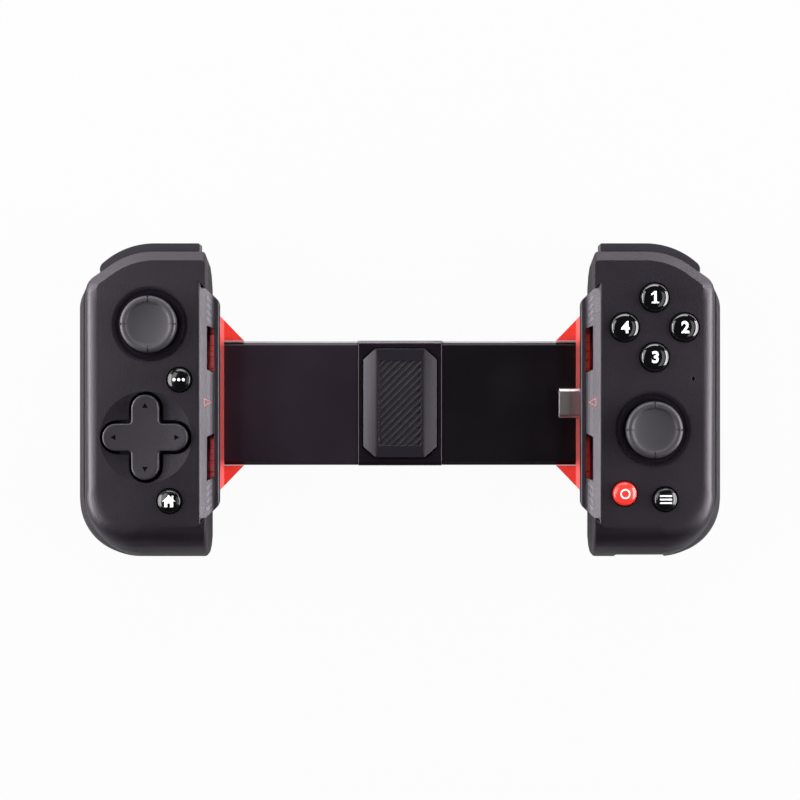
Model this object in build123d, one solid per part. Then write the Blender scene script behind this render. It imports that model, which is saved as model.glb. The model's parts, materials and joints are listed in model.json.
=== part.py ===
from build123d import *
import math
import os

os.makedirs("parts", exist_ok=True)

# Real sizes in millimetres. The controller lies on its back: X runs along the bridge, Y up the face and
# Z out of the face, from the plane that the grips rest on. Each half is drawn on the +X side, and the
# left one is its mirror image, so every place below is given on that side.

# Grip form
inner_x = 52.8             # flat inner wall of a grip, where a phone's end stops
face_z = 27.0              # flat front face
split_z = 17.0             # parting line of the two shells
face_outer_x = 82.0        # outer edge of the flat face
face_top_y = 37.8          # top edge of the flat face
roll_start_y = -33.2       # where the face starts to roll down to the bottom
roll_width = 10.1
roll_drop = 13.0
top_chamfer_w = 2.5
top_chamfer_h = 2.4
top_setback = 1.2          # how far the top wall leans in below its chamfer
side_chamfer_w = 3.7
side_chamfer_h = 3.8
side_draft = 1.1
side_round_power = 3       # the side chamfer starts flat and steepens as it falls
corner_face_x = 72.7       # start of the slanted top corner on the face
corner_split_x = 75.5      # and at the parting line
corner_face_slope = 0.72
corner_split_slope = 0.60
corner_top_radius = 20.0
corner_side_radius = 1.0
corner_side_radius_gain = 8.0
bottom_radius = 12.0
bottom_radius_gain = 6.0
inner_edge_radius = 1.2
widest_x = 89.2            # the back shell bulges past the front one
palm_round = 7.6           # rounding of the back, which the shares below scale
corner_back_shift = 4.0
face_wall = 2.2
side_wall = 2.4
floor_wall = 2.4
inner_wall = 2.4
top_wall = 4.8             # room for the bumper between the cavity and the top edge
bottom_wall = 6.2          # the back is solid where the socket enters

# Front levels below the face and back levels below the parting line
front_drop_shares = (0, 0.02, 0.05, 0.09, 0.15, 0.24, 0.31, 0.38, 0.64, 1)
back_level_shares = (       # depth, then the insets of the side, top, bottom and inner wall
    (0, 0.25, 0, 0.035, 0),
    (0.18, 0.08, 0.07, 0, 0),
    (0.47, 0, 0.18, 0.03, 0),
    (0.71, 0.10, 0.47, 0.18, 0),
    (0.88, 0.40, 0.95, 0.50, 0),
    (1, 0.84, 1.47, 1, 0.20),
)

# Clamp lip over the phone's edge
clamp_y = -0.95            # centre line of the clamp and the bridge
slope_start_x = 54.4
slope_end_x = 51.4
slope_drop = 3.0
lip_tip_x = 49.2
lip_tip_drop = 3.8
lip_under_z = 20.6
lip_half_length = 27.6     # at its tip; the ends slant back at 45 degrees
lip_end_radius = 3.0
lip_edge_radius = 0.8
lip_crest_radius = 1.7
slot_near = 8.2            # from the centre line to the near end of a slot
slot_length = 12.9
slot_x = 50.6
slot_w = 1.9

# Bridge sleeve, fixed to the grip, and the slide that runs in it
sleeve_h = 34.5
sleeve_front_z = 10.0
sleeve_back_z = 1.6
sleeve_wall = 1.3
sleeve_mouth_x = 11.8
sleeve_end_x = 61.2
sleeve_end_block = 2.6
sleeve_edge_radius = 1.1
liner_floor = 0.6          # the sleeve is this much lower under the liner
liner_floor_x = 49.0
slide_gap = 0.2
slide_end_x = 56.0
slide_plate = 1.0
slide_rim = 1.2
stroke = 33.0              # outward travel of each half

# Centre section
cover_half_w = 11.65
cover_rise = 0.3
cover_wall = 1.6
cover_split_z = 5.8
pad_w = 20.4
pad_h = 30.2
pad_cut_x = 3.4
pad_cut_y = 3.0
pad_z = 1.3
pad_seat = 0.8
pad_seat_gap = 0.3
pad_flat_w = 13.8
pad_rim_z = 0.45
groove_w = 0.9
groove_depth = 0.5
groove_pitch = 2.1
groove_panel = (11.6, 23.6)

# Rack and pinion
pinion_teeth = 12
pressure_angle = 20.0
rack_addendum = 0.65
pinion_addendum = 0.8
root_gap = 0.2
backlash = 0.1             # taken off each gear's tooth thickness
gear_t = 2.2
gear_lift = 0.2
rack_back = 2.6
rack_teeth_past = 4.0
pinion_post_r = 1.5
pinion_bore_gap = 0.05
post_plate_gap = 0.1

# Return springs and flat cable
spring_r = 1.25
spring_wire = 0.5
spring_turns = 10
spring_rim_gap = 0.95      # from the slide's rim to a spring
spring_rack_gap = 1.0      # from a spring to the back of its rack
spring_anchor_x = 10.0
ribbon_w = 8.0
ribbon_t = 0.12
ribbon_step = 0.22
ribbon_fold_x = 20.0

# Liner of the phone slot
liner_wall = 1.2
liner_half_length = 26.6
liner_roof_x = 49.9
liner_roof = 1.2
liner_ramp_rise = 2.0
liner_bottom_z = 8.4
slot_pad_gap = 0.1         # a pad of the liner stands in each slot of the lip
slot_channel = 0.7         # dark channel beside the pad
slot_pad_rise = 1.9
slot_groove_w = 0.25
slot_groove_depth = 0.4
slot_groove_pitch = 2.35
wing_tip_x = 43.5
wing_grip_x = 51.0
wing_rise = 7.75           # how far a wing stands past the sleeve at the grip
wing_gap = 0.1

# Controls: places on the face, sizes and travels
stick_hole_r = 7.6
stick_recess_r = 10.8
stick_pivot_z = 18.0
stick_cap_r = 7.6
stick_dish_r = 5.6
stick_dish_depth = 0.7
stick_cap_z = 30.5
stick_cap_h = 3.7
stick_notch_w = 0.5
stick_notch_depth = 0.3
stick_neck_r = 3.2
stick_dome_r = 9.0
stick_dome_t = 0.8
stick_dome_low = 3.2
shaft_r = 1.0
shaft_low = 1.8
gimbal_side = 10.0
gimbal_wall = 0.8
gimbal_base = 1.5
gimbal_rim = 1.0
ring_side = 7.4
ring_wall = 1.0
ring_t = 2.4
rocker_side = 4.6
rocker_t = 3.0
ring_pin_r = 0.7
rocker_pin_r = 0.6
pin_gap = 0.05
stick_click = 0.5

button_flange = 0.75
button_gap = 0.3
button_rise = 1.9
button_dome = 0.9
button_flange_t = 1.2
button_flange_gap = 0.2
button_plunger_r = 2.0
button_floor_gap = 1.3     # from the membrane sheet to a plunger
face_button_r = 3.85
face_button_travel = 0.8
small_button_r = 3.25

dpad_arm_w = 7.4
dpad_span = 23.0
dpad_gap = 0.9
dpad_dish_r = 12.5
dpad_dish_depth = 0.95
dpad_rise = 2.4
dpad_crown = 0.6
dpad_flange_r = 10.6
dpad_flange_t = 1.3
dpad_flange_z = 22.6
dpad_disc_r = 9.0
dpad_disc_t = 0.8
dpad_disc_z = 20.8
dpad_ridge = 0.9
dpad_ridge_length = 7.2
dpad_post_r = 1.8
dpad_post_gap = 0.1
dpad_dome_reach = 7.0
dpad_dome_gap = 0.7

stick_place = {"left": (67.6, 20.3), "right": (68.3, -8.1)}
dpad_place = (68.9, -10.2)
dots_place = (59.8, 5.4)
home_place = (62.5, -27.5)
face_centre = (69.0, 19.6)
face_reach = 8.1
red_place = (60.9, -25.5)
menu_place = (71.9, -27.0)
pinhole_place = (79.5, 5.6)
pinhole_r = 0.45

# Bumper and trigger
bumper_start_x = 54.6
bumper_outer_y = 42.65
bumper_corner_x = 75.75
bumper_end = (82.7, 35.7)
bumper_depth = 4.5
bumper_low_z = 15.6
bumper_top_z = 23.1
bumper_gap = 0.3
bumper_swing_gap = 1.4
bumper_end_gap = 0.4
bumper_outer_gap = 0.95    # its outer end swings towards the pocket's end
bumper_pivot = (57.2, 38.4)
bumper_ear = 2.1
bumper_pin_r = 1.0
bumper_edge = 0.5
shelf_t = 1.0
trigger_start_x = 56.4
trigger_end_x = 74.0
trigger_gap = 0.3
trigger_pivot = (34.0, 11.4)
trigger_boss_r = 2.2
trigger_pin_r = 1.0
trigger_pin_seat = 1.4
trigger_outer_y = 42.2
trigger_top_z = 13.9
trigger_low_z = 2.6
trigger_waist = (40.4, 8.6)
trigger_heel = (36.0, 8.1)
trigger_lip = (1.0, 0.5)    # bevel under the outer edge
trigger_edge = 1.0
trigger_hollow_radius = 6.6
trigger_pocket_y = 31.5
trigger_wall = 1.2

# Inside: circuit board, membrane, screws
board_z = 12.5
board_t = 1.2
board_gap = 0.5
membrane_t = 0.6
membrane_dome_r = 2.1
membrane_rim = 0.3
membrane_dome_h = 0.45
boss_r = 2.1
screw_r = 0.95
screw_head_r = 1.9
screw_head_h = 1.2
screw_sink = 0.8
screw_reach_z = 22.0
screw_places = ((57.4, 25.6), (79.0, 12.0), (57.9, -33.0), (78.3, -28.8))

# Plug that enters the phone, and the charging socket
plug_w = 8.25
plug_t = 2.4
plug_tip_x = 43.95
plug_length = 6.65
plug_z = 15.0
plug_wall = 0.3
plug_mouth_depth = 5.5
plug_tongue_t = 0.6
carrier_side = 11.6
carrier_h = 4.6
carrier_end_x = 56.8
carrier_edge = 0.9
plug_seat = 2.0
port_place = (66.0, 8.6)
port_w = 8.94
port_h = 3.2
port_length = 7.0
port_wall = 0.3
port_tongue_t = 0.7
port_sink = 1.3
scoop_w = 14.1             # shallow scoop in the bottom edge round the socket
scoop_depth = 0.7
scoop_below = 4.0
scoop_above = 11.0
scoop_radius = 0.6

overrun = 20.0             # how far a cutter reaches past what it cuts

# Sizes that follow
depth_front = face_z - split_z
cavity_top_z = face_z - face_wall
lip_root_x = inner_x + inner_wall
sleeve_low_y = clamp_y - sleeve_h / 2
sleeve_high_y = clamp_y + sleeve_h / 2
slide_half_h = sleeve_h / 2 - sleeve_wall - slide_gap
spring_y = slide_half_h - slide_rim - spring_rim_gap - spring_r - spring_wire / 2
rack_root_y = spring_y - spring_r - spring_wire / 2 - spring_rack_gap - rack_back
module = (rack_root_y - root_gap) / (pinion_teeth / 2 + pinion_addendum)
pitch_r = module * pinion_teeth / 2
slide_back_z = sleeve_back_z + sleeve_wall + slide_gap
slide_front_z = sleeve_front_z - sleeve_wall - slide_gap
gear_z = slide_back_z + slide_plate + gear_lift
shelf_top_z = bumper_low_z - bumper_gap
shelf_low_z = shelf_top_z - shelf_t
board_top_z = board_z + board_t
membrane_z = board_top_z + membrane_t
plunger_z = membrane_z + button_floor_gap
membrane_pad_r = membrane_dome_r + membrane_rim
bottom_y = roll_start_y - roll_width
cavity_x = inner_x + inner_wall
front_cavity = [
    (cavity_x, roll_start_y - side_wall), (face_outer_x, roll_start_y - side_wall),
    (face_outer_x, face_top_y - top_wall), (cavity_x, face_top_y - top_wall),
]
back_cavity = [
    (cavity_x, bottom_y + bottom_wall), (face_outer_x, bottom_y + bottom_wall),
    (face_outer_x, trigger_pocket_y - trigger_wall), (cavity_x, trigger_pocket_y - trigger_wall),
]
front_cavity_radii = [inner_edge_radius, bottom_radius, bottom_radius, inner_edge_radius]
back_cavity_radii = [inner_edge_radius, bottom_radius, inner_edge_radius, inner_edge_radius]


# Shapes by their corners, and outlines drawn in a plane

def block(x0, x1, y0, y1, z0, z1):
    return Pos((x0 + x1) / 2, (y0 + y1) / 2, (z0 + z1) / 2) * Box(x1 - x0, y1 - y0, z1 - z0)


def drum(radius, place, z0, z1):
    return Pos(place[0], place[1], (z0 + z1) / 2) * Cylinder(radius, z1 - z0)


def rod_x(radius, x0, x1, y, z):
    return Pos((x0 + x1) / 2, y, z) * Rot(0, 90, 0) * Cylinder(radius, x1 - x0)


def rod_y(radius, x, y0, y1, z):
    return Pos(x, (y0 + y1) / 2, z) * Rot(90, 0, 0) * Cylinder(radius, y1 - y0)


def outline(points, radii):
    return make_face(FilletPolyline(*points, radius=radii, close=True))


def plan_prism(points, radii, z0, z1):
    face = Pos(0, 0, z0) * outline(points, radii)
    return extrude(face, amount=z1 - z0, dir=(0, 0, 1))


def side_prism(points, radii, x0, x1):
    """Outline of Y and Z points, run from x0 to x1."""
    face = Plane(origin=(x0, 0, 0), x_dir=(0, 1, 0), z_dir=(1, 0, 0)) * outline(points, radii)
    return extrude(face, amount=x1 - x0, dir=(1, 0, 0))


def end_prism(points, radii, y0, y1):
    """Outline of X and Z points, run from y0 to y1."""
    face = Plane(origin=(0, y0, 0), x_dir=(1, 0, 0), z_dir=(0, -1, 0)) * outline(points, radii)
    return extrude(face, amount=y1 - y0, dir=(0, 1, 0))


# Grip form: outlines lofted down from the face and up from the resting plane

def grip_outline(z, x_in, x_out, y_top, y_bottom, corner_x, slope, r_top, r_side, r_bottom):
    corner_y = y_top - (x_out - corner_x) * slope
    points = [(x_in, y_top), (corner_x, y_top), (x_out, corner_y), (x_out, y_bottom), (x_in, y_bottom)]
    radii = [inner_edge_radius, r_top, r_side, r_bottom, inner_edge_radius]
    return Pos(0, 0, z) * outline(points, radii)


def front_level(share):
    drop = depth_front * share
    top = min(drop / top_chamfer_h, 1)
    side = 1 - (1 - min(drop / side_chamfer_h, 1)) ** side_round_power
    below_top = max(drop - top_chamfer_h, 0) / (depth_front - top_chamfer_h)
    below_side = max(drop - side_chamfer_h, 0) / (depth_front - side_chamfer_h)
    roll = min(drop / roll_drop, 1)
    return grip_outline(
        z=face_z - drop,
        x_in=inner_x,
        x_out=face_outer_x + side_chamfer_w * side + side_draft * below_side,
        y_top=face_top_y + top_chamfer_w * top - top_setback * below_top,
        y_bottom=roll_start_y - roll_width * math.sqrt(1 - (1 - roll) ** 2),
        corner_x=corner_face_x + (corner_split_x - corner_face_x) * share,
        slope=corner_face_slope + (corner_split_slope - corner_face_slope) * share,
        r_top=corner_top_radius,
        r_side=corner_side_radius + corner_side_radius_gain * math.sqrt(share),
        r_bottom=bottom_radius + bottom_radius_gain * roll,
    )


def back_level(row):
    depth, side, top, bottom, inner = row
    return grip_outline(
        z=split_z * (1 - depth),
        x_in=inner_x + palm_round * inner,
        x_out=widest_x - palm_round * side,
        y_top=face_top_y + top_chamfer_w - top_setback - palm_round * top,
        y_bottom=roll_start_y - roll_width + palm_round * bottom,
        corner_x=corner_split_x - corner_back_shift * depth,
        slope=corner_split_slope,
        r_top=corner_top_radius,
        r_side=corner_side_radius + corner_side_radius_gain,
        r_bottom=bottom_radius + bottom_radius_gain * (1 - depth),
    )


front_form = loft([front_level(share) for share in front_drop_shares], ruled=True)
back_form = loft([back_level(row) for row in back_level_shares], ruled=True)


# Clamp lip, with its slope, its slots and the wall that the liner backs on

lip_plan = [
    (lip_root_x, clamp_y - lip_half_length - (lip_root_x - lip_tip_x)),
    (lip_tip_x, clamp_y - lip_half_length),
    (lip_tip_x, clamp_y + lip_half_length),
    (lip_root_x, clamp_y + lip_half_length + (lip_root_x - lip_tip_x)),
]
lip_plan_radii = [0, lip_end_radius, lip_end_radius, 0]
lip_profile = [
    (lip_root_x, face_z),
    (slope_start_x, face_z),
    (slope_end_x, face_z - slope_drop),
    (lip_tip_x, face_z - lip_tip_drop),
    (lip_tip_x, lip_under_z),
    (lip_root_x, lip_under_z),
]
lip_profile_radii = [0, lip_crest_radius, lip_edge_radius, lip_edge_radius, lip_edge_radius / 2, 0]


def slot_plan(sign, x0, x1, gap):
    """A slot's outline from x0 to x1, with its slanted ends, made shorter by a gap at each end."""
    points = []
    for x, nearer in ((x0, True), (x1, True), (x1, False), (x0, False)):
        lean = (x - slot_x) / 2
        reach = slot_near + lean + gap if nearer else slot_near + slot_length - slot_w / 2 + lean - gap
        points.append((x, clamp_y + sign * reach))
    return points


def lip_slot(sign):
    return plan_prism(slot_plan(sign, slot_x, slot_x + slot_w, 0), 0, lip_under_z - overrun, face_z)


def clamp_lip():
    zone = plan_prism(lip_plan, lip_plan_radii, lip_under_z, face_z)
    bar = end_prism(lip_profile, lip_profile_radii, -sleeve_h, sleeve_h)
    lip = zone & bar
    return lip - lip_slot(1) - lip_slot(-1)


def liner_seat():
    reach = liner_half_length + wing_gap
    return block(inner_x - overrun, inner_x + liner_wall, clamp_y - reach, clamp_y + reach,
                 liner_bottom_z, lip_under_z)


def sleeve_window():
    return block(inner_x - overrun, sleeve_end_x, sleeve_low_y, sleeve_high_y,
                 sleeve_back_z, sleeve_front_z)


# Bumper and trigger outlines

bumper_slope = (bumper_outer_y - bumper_end[1]) / (bumper_end[0] - bumper_corner_x)
bumper_slant = math.atan(bumper_slope)
slant_in_x = math.sin(bumper_slant)
slant_in_y = math.cos(bumper_slant)
bumper_side = math.hypot(bumper_end[0] - bumper_corner_x, bumper_outer_y - bumper_end[1])
bumper_corner_radius = (bumper_side - 2 * bumper_edge) / math.tan(bumper_slant / 2)


def bumper_line(offset):
    """Corner and end of the bumper's outer line, moved inward by an offset."""
    corner_shift = offset * math.tan(bumper_slant / 2)
    corner = (bumper_corner_x - corner_shift, bumper_outer_y - offset)
    end = (bumper_end[0] - offset * slant_in_x, bumper_end[1] - offset * slant_in_y)
    return corner, end


def bumper_plan():
    outer_corner, outer_end = bumper_line(0)
    inner_corner, inner_end = bumper_line(bumper_depth)
    inner_y = bumper_outer_y - bumper_depth
    ear_y = inner_y - bumper_ear
    ear_x = 2 * bumper_pivot[0] - bumper_start_x
    return [
        (bumper_start_x, bumper_outer_y), outer_corner, outer_end,
        inner_end, inner_corner,
        (ear_x, inner_y), (ear_x, ear_y), (bumper_start_x, ear_y),
    ]


def bumper_pocket():
    corner, end = bumper_line(bumper_depth + bumper_swing_gap)
    inner_y = bumper_outer_y - bumper_depth - bumper_swing_gap
    ear_y = bumper_outer_y - bumper_depth - bumper_ear - bumper_swing_gap / 2
    ear_x = 2 * bumper_pivot[0] - bumper_start_x + bumper_swing_gap / 2
    start_x = bumper_start_x - bumper_end_gap
    end_x = end[0] + bumper_outer_gap * slant_in_y
    end_y = end[1] - bumper_outer_gap * slant_in_x
    points = [
        (start_x, bumper_outer_y + overrun),
        (end_x + overrun * slant_in_x, bumper_outer_y + overrun),
        (end_x + overrun * slant_in_x, end_y + overrun * slant_in_y),
        (end_x, end_y), corner,
        (ear_x, inner_y), (ear_x, ear_y), (start_x, ear_y),
    ]
    corner_radius = bumper_corner_radius - bumper_depth - bumper_swing_gap
    return plan_prism(points, [0, 0, 0, 0, corner_radius, 0, 0, 0], shelf_top_z, bumper_top_z + bumper_gap)


def trigger_pocket():
    return block(trigger_start_x - trigger_gap, trigger_end_x + trigger_gap,
                 trigger_pocket_y, bumper_outer_y + overrun, -overrun, shelf_low_z)


def trigger_pin_rod(radius, extra):
    return rod_x(radius, trigger_start_x - trigger_gap - trigger_pin_seat - extra,
                 trigger_end_x + trigger_gap + trigger_pin_seat + extra,
                 trigger_pivot[0], trigger_pivot[1])


# Openings of the face

def round_hole(place, radius):
    return drum(radius, place, cavity_top_z - overrun, face_z + overrun)


def stick_hole(place):
    """A round hole whose funnel rolls over into the face."""
    reach = stick_recess_r - stick_hole_r
    roll_r = (reach ** 2 + face_wall ** 2) / 2 / face_wall
    half_turn_angle = math.asin(reach / roll_r) / 2
    start = (stick_hole_r, cavity_top_z)
    middle = (stick_recess_r - roll_r * math.sin(half_turn_angle),
              face_z - roll_r * (1 - math.cos(half_turn_angle)))
    rim = (stick_recess_r, face_z)
    above = face_z + overrun
    edges = (Line((0, cavity_top_z), start) + ThreePointArc(start, middle, rim)
             + Polyline(rim, (stick_recess_r, above), (0, above), (0, cavity_top_z)))
    funnel = revolve(make_face(Plane.XZ * edges), axis=Axis.Z)
    return round_hole(place, stick_hole_r) + Pos(place[0], place[1], 0) * funnel


def cross_face(arm_w, span):
    arm = SlotOverall(span, arm_w)
    return arm + Rot(0, 0, 90) * arm


def dpad_hole():
    cross = cross_face(dpad_arm_w + 2 * dpad_gap, dpad_span + 2 * dpad_gap)
    hole = extrude(Pos(dpad_place[0], dpad_place[1], cavity_top_z) * cross, amount=overrun, dir=(0, 0, 1))
    ball_r = (dpad_dish_r ** 2 + dpad_dish_depth ** 2) / 2 / dpad_dish_depth
    dish = Pos(dpad_place[0], dpad_place[1], face_z - dpad_dish_depth + ball_r) * Sphere(ball_r)
    dish = dish & drum(dpad_dish_r, dpad_place, cavity_top_z, face_z)
    return hole + dish


def face_button_places():
    x, y = face_centre
    return {
        "face_button_top": (x, y + face_reach),
        "face_button_left": (x - face_reach, y),
        "face_button_right": (x + face_reach, y),
        "face_button_bottom": (x, y - face_reach),
    }


left_buttons = {"dots_button": (dots_place, small_button_r), "home_button": (home_place, small_button_r)}
right_buttons = {name: (place, face_button_r) for name, place in face_button_places().items()}
right_buttons["red_button"] = (red_place, small_button_r)
right_buttons["menu_button"] = (menu_place, small_button_r)
buttons = {"left": left_buttons, "right": right_buttons}


# Shells

def front_shell(side):
    zone = plan_prism(lip_plan, lip_plan_radii, lip_under_z, face_z + overrun)
    cavity = plan_prism(front_cavity, front_cavity_radii, split_z, cavity_top_z)
    shell = front_form - cavity - zone + clamp_lip()
    for place in screw_places:
        shell = shell + drum(boss_r, place, board_top_z, cavity_top_z)
    shell = shell - liner_seat() - bumper_pocket()
    shell = shell + drum(bumper_pin_r, bumper_pivot, bumper_low_z, bumper_top_z + bumper_gap)
    shell = shell - stick_hole(stick_place[side])
    for place, radius in buttons[side].values():
        shell = shell - round_hole(place, radius + button_gap)
    if side == "left":
        shell = shell - dpad_hole()
    else:
        shell = shell - round_hole(pinhole_place, pinhole_r) - carrier_hole() - port_scoop()
    for place in screw_places:
        shell = shell - drum(screw_r, place, board_top_z - overrun, screw_reach_z)
    return shell


def back_shell(side):
    cavity = plan_prism(back_cavity, back_cavity_radii, floor_wall, split_z)
    shell = back_form - cavity - trigger_pocket() - bumper_pocket() - sleeve_window() - liner_seat()
    for place in screw_places:
        shell = shell + drum(boss_r, place, floor_wall, board_z)
        shell = shell - drum(screw_head_r, place, -overrun, screw_sink + screw_head_h)
        shell = shell - drum(screw_r, place, 0, split_z)
    shell = shell - trigger_pin_rod(trigger_pin_r, 0)
    shell = shell - sleeve_window()
    if side == "left":
        post = drum(dpad_post_r, dpad_place, floor_wall, dpad_disc_z - dpad_post_r)
        tip = Pos(dpad_place[0], dpad_place[1], dpad_disc_z - dpad_post_r) * Sphere(dpad_post_r)
        shell = shell + post + tip
    else:
        shell = shell - carrier_hole() - port_hole() - port_scoop()
    return shell


# Plug, its carrier and the charging socket

def capsule_x(width, height, x0, x1, y, z):
    """A bar with round sides that runs along X, like a connector's shell."""
    face = Plane(origin=(x0, y, z), x_dir=(0, 1, 0), z_dir=(1, 0, 0)) * SlotOverall(width, height)
    return extrude(face, amount=x1 - x0, dir=(1, 0, 0))


def capsule_y(width, height, x, y0, y1, z):
    face = Plane(origin=(x, y0, z), x_dir=(1, 0, 0), z_dir=(0, -1, 0)) * SlotOverall(width, height)
    return extrude(face, amount=y1 - y0, dir=(0, 1, 0))


def carrier_hole():
    half = carrier_side / 2
    return block(inner_x - overrun, carrier_end_x, clamp_y - half, clamp_y + half,
                 plug_z - carrier_h / 2, plug_z + carrier_h / 2)


def plug_carrier():
    half = carrier_side / 2
    carrier = block(plug_tip_x + plug_length, carrier_end_x, clamp_y - half, clamp_y + half,
                    plug_z - carrier_h / 2, plug_z + carrier_h / 2)
    carrier = fillet(carrier.edges().filter_by(Axis.X), carrier_edge)
    seat = capsule_x(plug_w, plug_t, plug_tip_x, plug_tip_x + plug_length + plug_seat, clamp_y, plug_z)
    return carrier - seat


def usb_c_plug():
    body = capsule_x(plug_w, plug_t, plug_tip_x, plug_tip_x + plug_length + plug_seat, clamp_y, plug_z)
    mouth = capsule_x(plug_w - 2 * plug_wall, plug_t - 2 * plug_wall, plug_tip_x - overrun,
                      plug_tip_x + plug_mouth_depth, clamp_y, plug_z)
    return body - mouth


def port_hole():
    return capsule_y(port_w, port_h, port_place[0], bottom_y - overrun,
                     bottom_y + port_sink + port_length, port_place[1])


def port_scoop():
    x, z = port_place
    scoop = block(x - scoop_w / 2, x + scoop_w / 2, bottom_y - overrun, bottom_y + scoop_depth,
                  z - scoop_below, z + scoop_above)
    return fillet(scoop.edges().filter_by(Axis.Z).group_by(Axis.Y)[-1], scoop_radius)


def charge_port():
    front = bottom_y + port_sink
    body = capsule_y(port_w, port_h, port_place[0], front, front + port_length, port_place[1])
    mouth = capsule_y(port_w - 2 * port_wall, port_h - 2 * port_wall, port_place[0], front - overrun,
                      front + port_length - 2 * port_wall, port_place[1])
    half = port_w / 2 - 4 * port_wall
    tongue = block(port_place[0] - half, port_place[0] + half, front + 4 * port_wall, front + port_length,
                   port_place[1] - port_tongue_t / 2, port_place[1] + port_tongue_t / 2)
    return body - mouth + tongue


# Liner of the phone slot: wall, roof, floor, ramp, two slanted wings and the pads in the lip's slots

def slot_pad(sign):
    top_z = lip_under_z + slot_pad_rise
    points = slot_plan(sign, slot_x + slot_pad_gap, slot_x + slot_w - slot_channel, 2 * slot_pad_gap)
    pad = plan_prism(points, 0, lip_under_z - liner_roof / 2, top_z)
    for index in range(int(slot_length / slot_groove_pitch)):
        middle = clamp_y + sign * (slot_near + (index + 0.5) * slot_groove_pitch)
        pad = pad - block(slot_x, slot_x + slot_w, middle - slot_groove_w / 2, middle + slot_groove_w / 2,
                          top_z - slot_groove_depth, top_z + overrun)
    return pad



def phone_liner(side):
    back_x = inner_x + liner_wall
    low = clamp_y - liner_half_length
    high = clamp_y + liner_half_length
    wall = block(inner_x, back_x, low, high, liner_bottom_z, lip_under_z)
    roof = block(liner_roof_x, back_x, low, high, lip_under_z - liner_roof, lip_under_z)
    ramp = end_prism(
        [(liner_floor_x, sleeve_front_z - liner_floor), (liner_floor_x, sleeve_front_z),
         (inner_x, sleeve_front_z + liner_ramp_rise), (inner_x, sleeve_front_z - liner_floor)],
        0, low, high)
    ramp = ramp - block(0, back_x, sleeve_high_y + wing_rise, high + overrun, 0, face_z)
    ramp = ramp - block(0, back_x, low - overrun, sleeve_low_y - wing_rise, 0, face_z)
    liner = wall + roof + ramp
    for edge_y, sign in ((sleeve_high_y + wing_gap, 1), (sleeve_low_y - wing_gap, -1)):
        points = [(wing_tip_x, edge_y), (wing_grip_x, edge_y + sign * wing_rise),
                  (back_x, edge_y + sign * wing_rise), (back_x, edge_y)]
        liner = liner + plan_prism(points, 0, liner_bottom_z, sleeve_front_z)
    liner = liner - block(0, back_x, sleeve_low_y, sleeve_high_y, 0, sleeve_front_z - liner_floor)
    if side == "right":
        liner = liner - carrier_hole()
    return liner + slot_pad(1) + slot_pad(-1)


# Bridge sleeve: a flat tube, closed at its grip end

def bridge_sleeve(side):
    points = [(sleeve_low_y, sleeve_back_z), (sleeve_high_y, sleeve_back_z),
              (sleeve_high_y, sleeve_front_z), (sleeve_low_y, sleeve_front_z)]
    tube = side_prism(points, sleeve_edge_radius, sleeve_mouth_x, inner_x)
    tail = side_prism(points, 0, inner_x, sleeve_end_x)
    bore = block(sleeve_mouth_x - overrun, sleeve_end_x - sleeve_end_block,
                 sleeve_low_y + sleeve_wall, sleeve_high_y - sleeve_wall,
                 sleeve_back_z + sleeve_wall, sleeve_front_z - sleeve_wall)
    rebate = block(liner_floor_x, inner_x + liner_wall, sleeve_low_y, sleeve_high_y,
                   sleeve_front_z - liner_floor, sleeve_front_z)
    return tube + tail - bore - rebate


# Slide: a tray with two rims and a lid, which the racks, springs and cable run in

def slide_tray():
    tray = block(-slide_end_x, slide_end_x, clamp_y - slide_half_h, clamp_y + slide_half_h,
                 slide_back_z, slide_front_z - slide_plate)
    room = block(-slide_end_x - overrun, slide_end_x + overrun,
                 clamp_y - slide_half_h + slide_rim, clamp_y + slide_half_h - slide_rim,
                 slide_back_z + slide_plate, slide_front_z)
    post = drum(pinion_post_r, (0, clamp_y), slide_back_z + slide_plate, gear_z + gear_t)
    hooks = []
    for sign in (1, -1):
        x = sign * (spring_anchor_x - spring_r)
        y = clamp_y - sign * spring_y
        hooks.append(block(x - spring_r, x + spring_r, y - spring_r, y + spring_r,
                           slide_back_z + slide_plate, gear_z + gear_t))
    return tray - room + post + hooks[0] + hooks[1]


def slide_cover():
    return block(-slide_end_x, slide_end_x, clamp_y - slide_half_h, clamp_y + slide_half_h,
                 slide_front_z - slide_plate, slide_front_z)


# Centre covers around the slide, and the rubber pad that a phone's back lies on

def centre_ring(z0, z1):
    half_h = sleeve_h / 2 + cover_rise / 2
    top_z = sleeve_front_z + cover_rise
    points = [(clamp_y - half_h, sleeve_back_z), (clamp_y + half_h, sleeve_back_z),
              (clamp_y + half_h, top_z), (clamp_y - half_h, top_z)]
    ring = side_prism(points, sleeve_edge_radius, -cover_half_w, cover_half_w)
    ring = ring - block(-cover_half_w, cover_half_w, clamp_y - slide_half_h, clamp_y + slide_half_h,
                        slide_back_z, slide_front_z)
    return ring & block(-overrun, overrun, clamp_y - sleeve_h, clamp_y + sleeve_h, z0, z1)


def pad_outline(width, height, cut_x, cut_y):
    half_w = width / 2
    half_h = height / 2
    return [
        (-half_w, clamp_y - half_h + cut_y), (-half_w, clamp_y + half_h - cut_y),
        (-half_w + cut_x, clamp_y + half_h), (half_w - cut_x, clamp_y + half_h),
        (half_w, clamp_y + half_h - cut_y), (half_w, clamp_y - half_h + cut_y),
        (half_w - cut_x, clamp_y - half_h), (-half_w + cut_x, clamp_y - half_h),
    ]


def bridge_front_cover():
    cover = centre_ring(cover_split_z, face_z)
    spread = 2 * pad_seat_gap
    seat = plan_prism(pad_outline(pad_w + spread, pad_h + spread, pad_cut_x, pad_cut_y), 0,
                      sleeve_front_z + cover_rise - pad_seat, sleeve_front_z + overrun)
    return cover - seat


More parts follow.
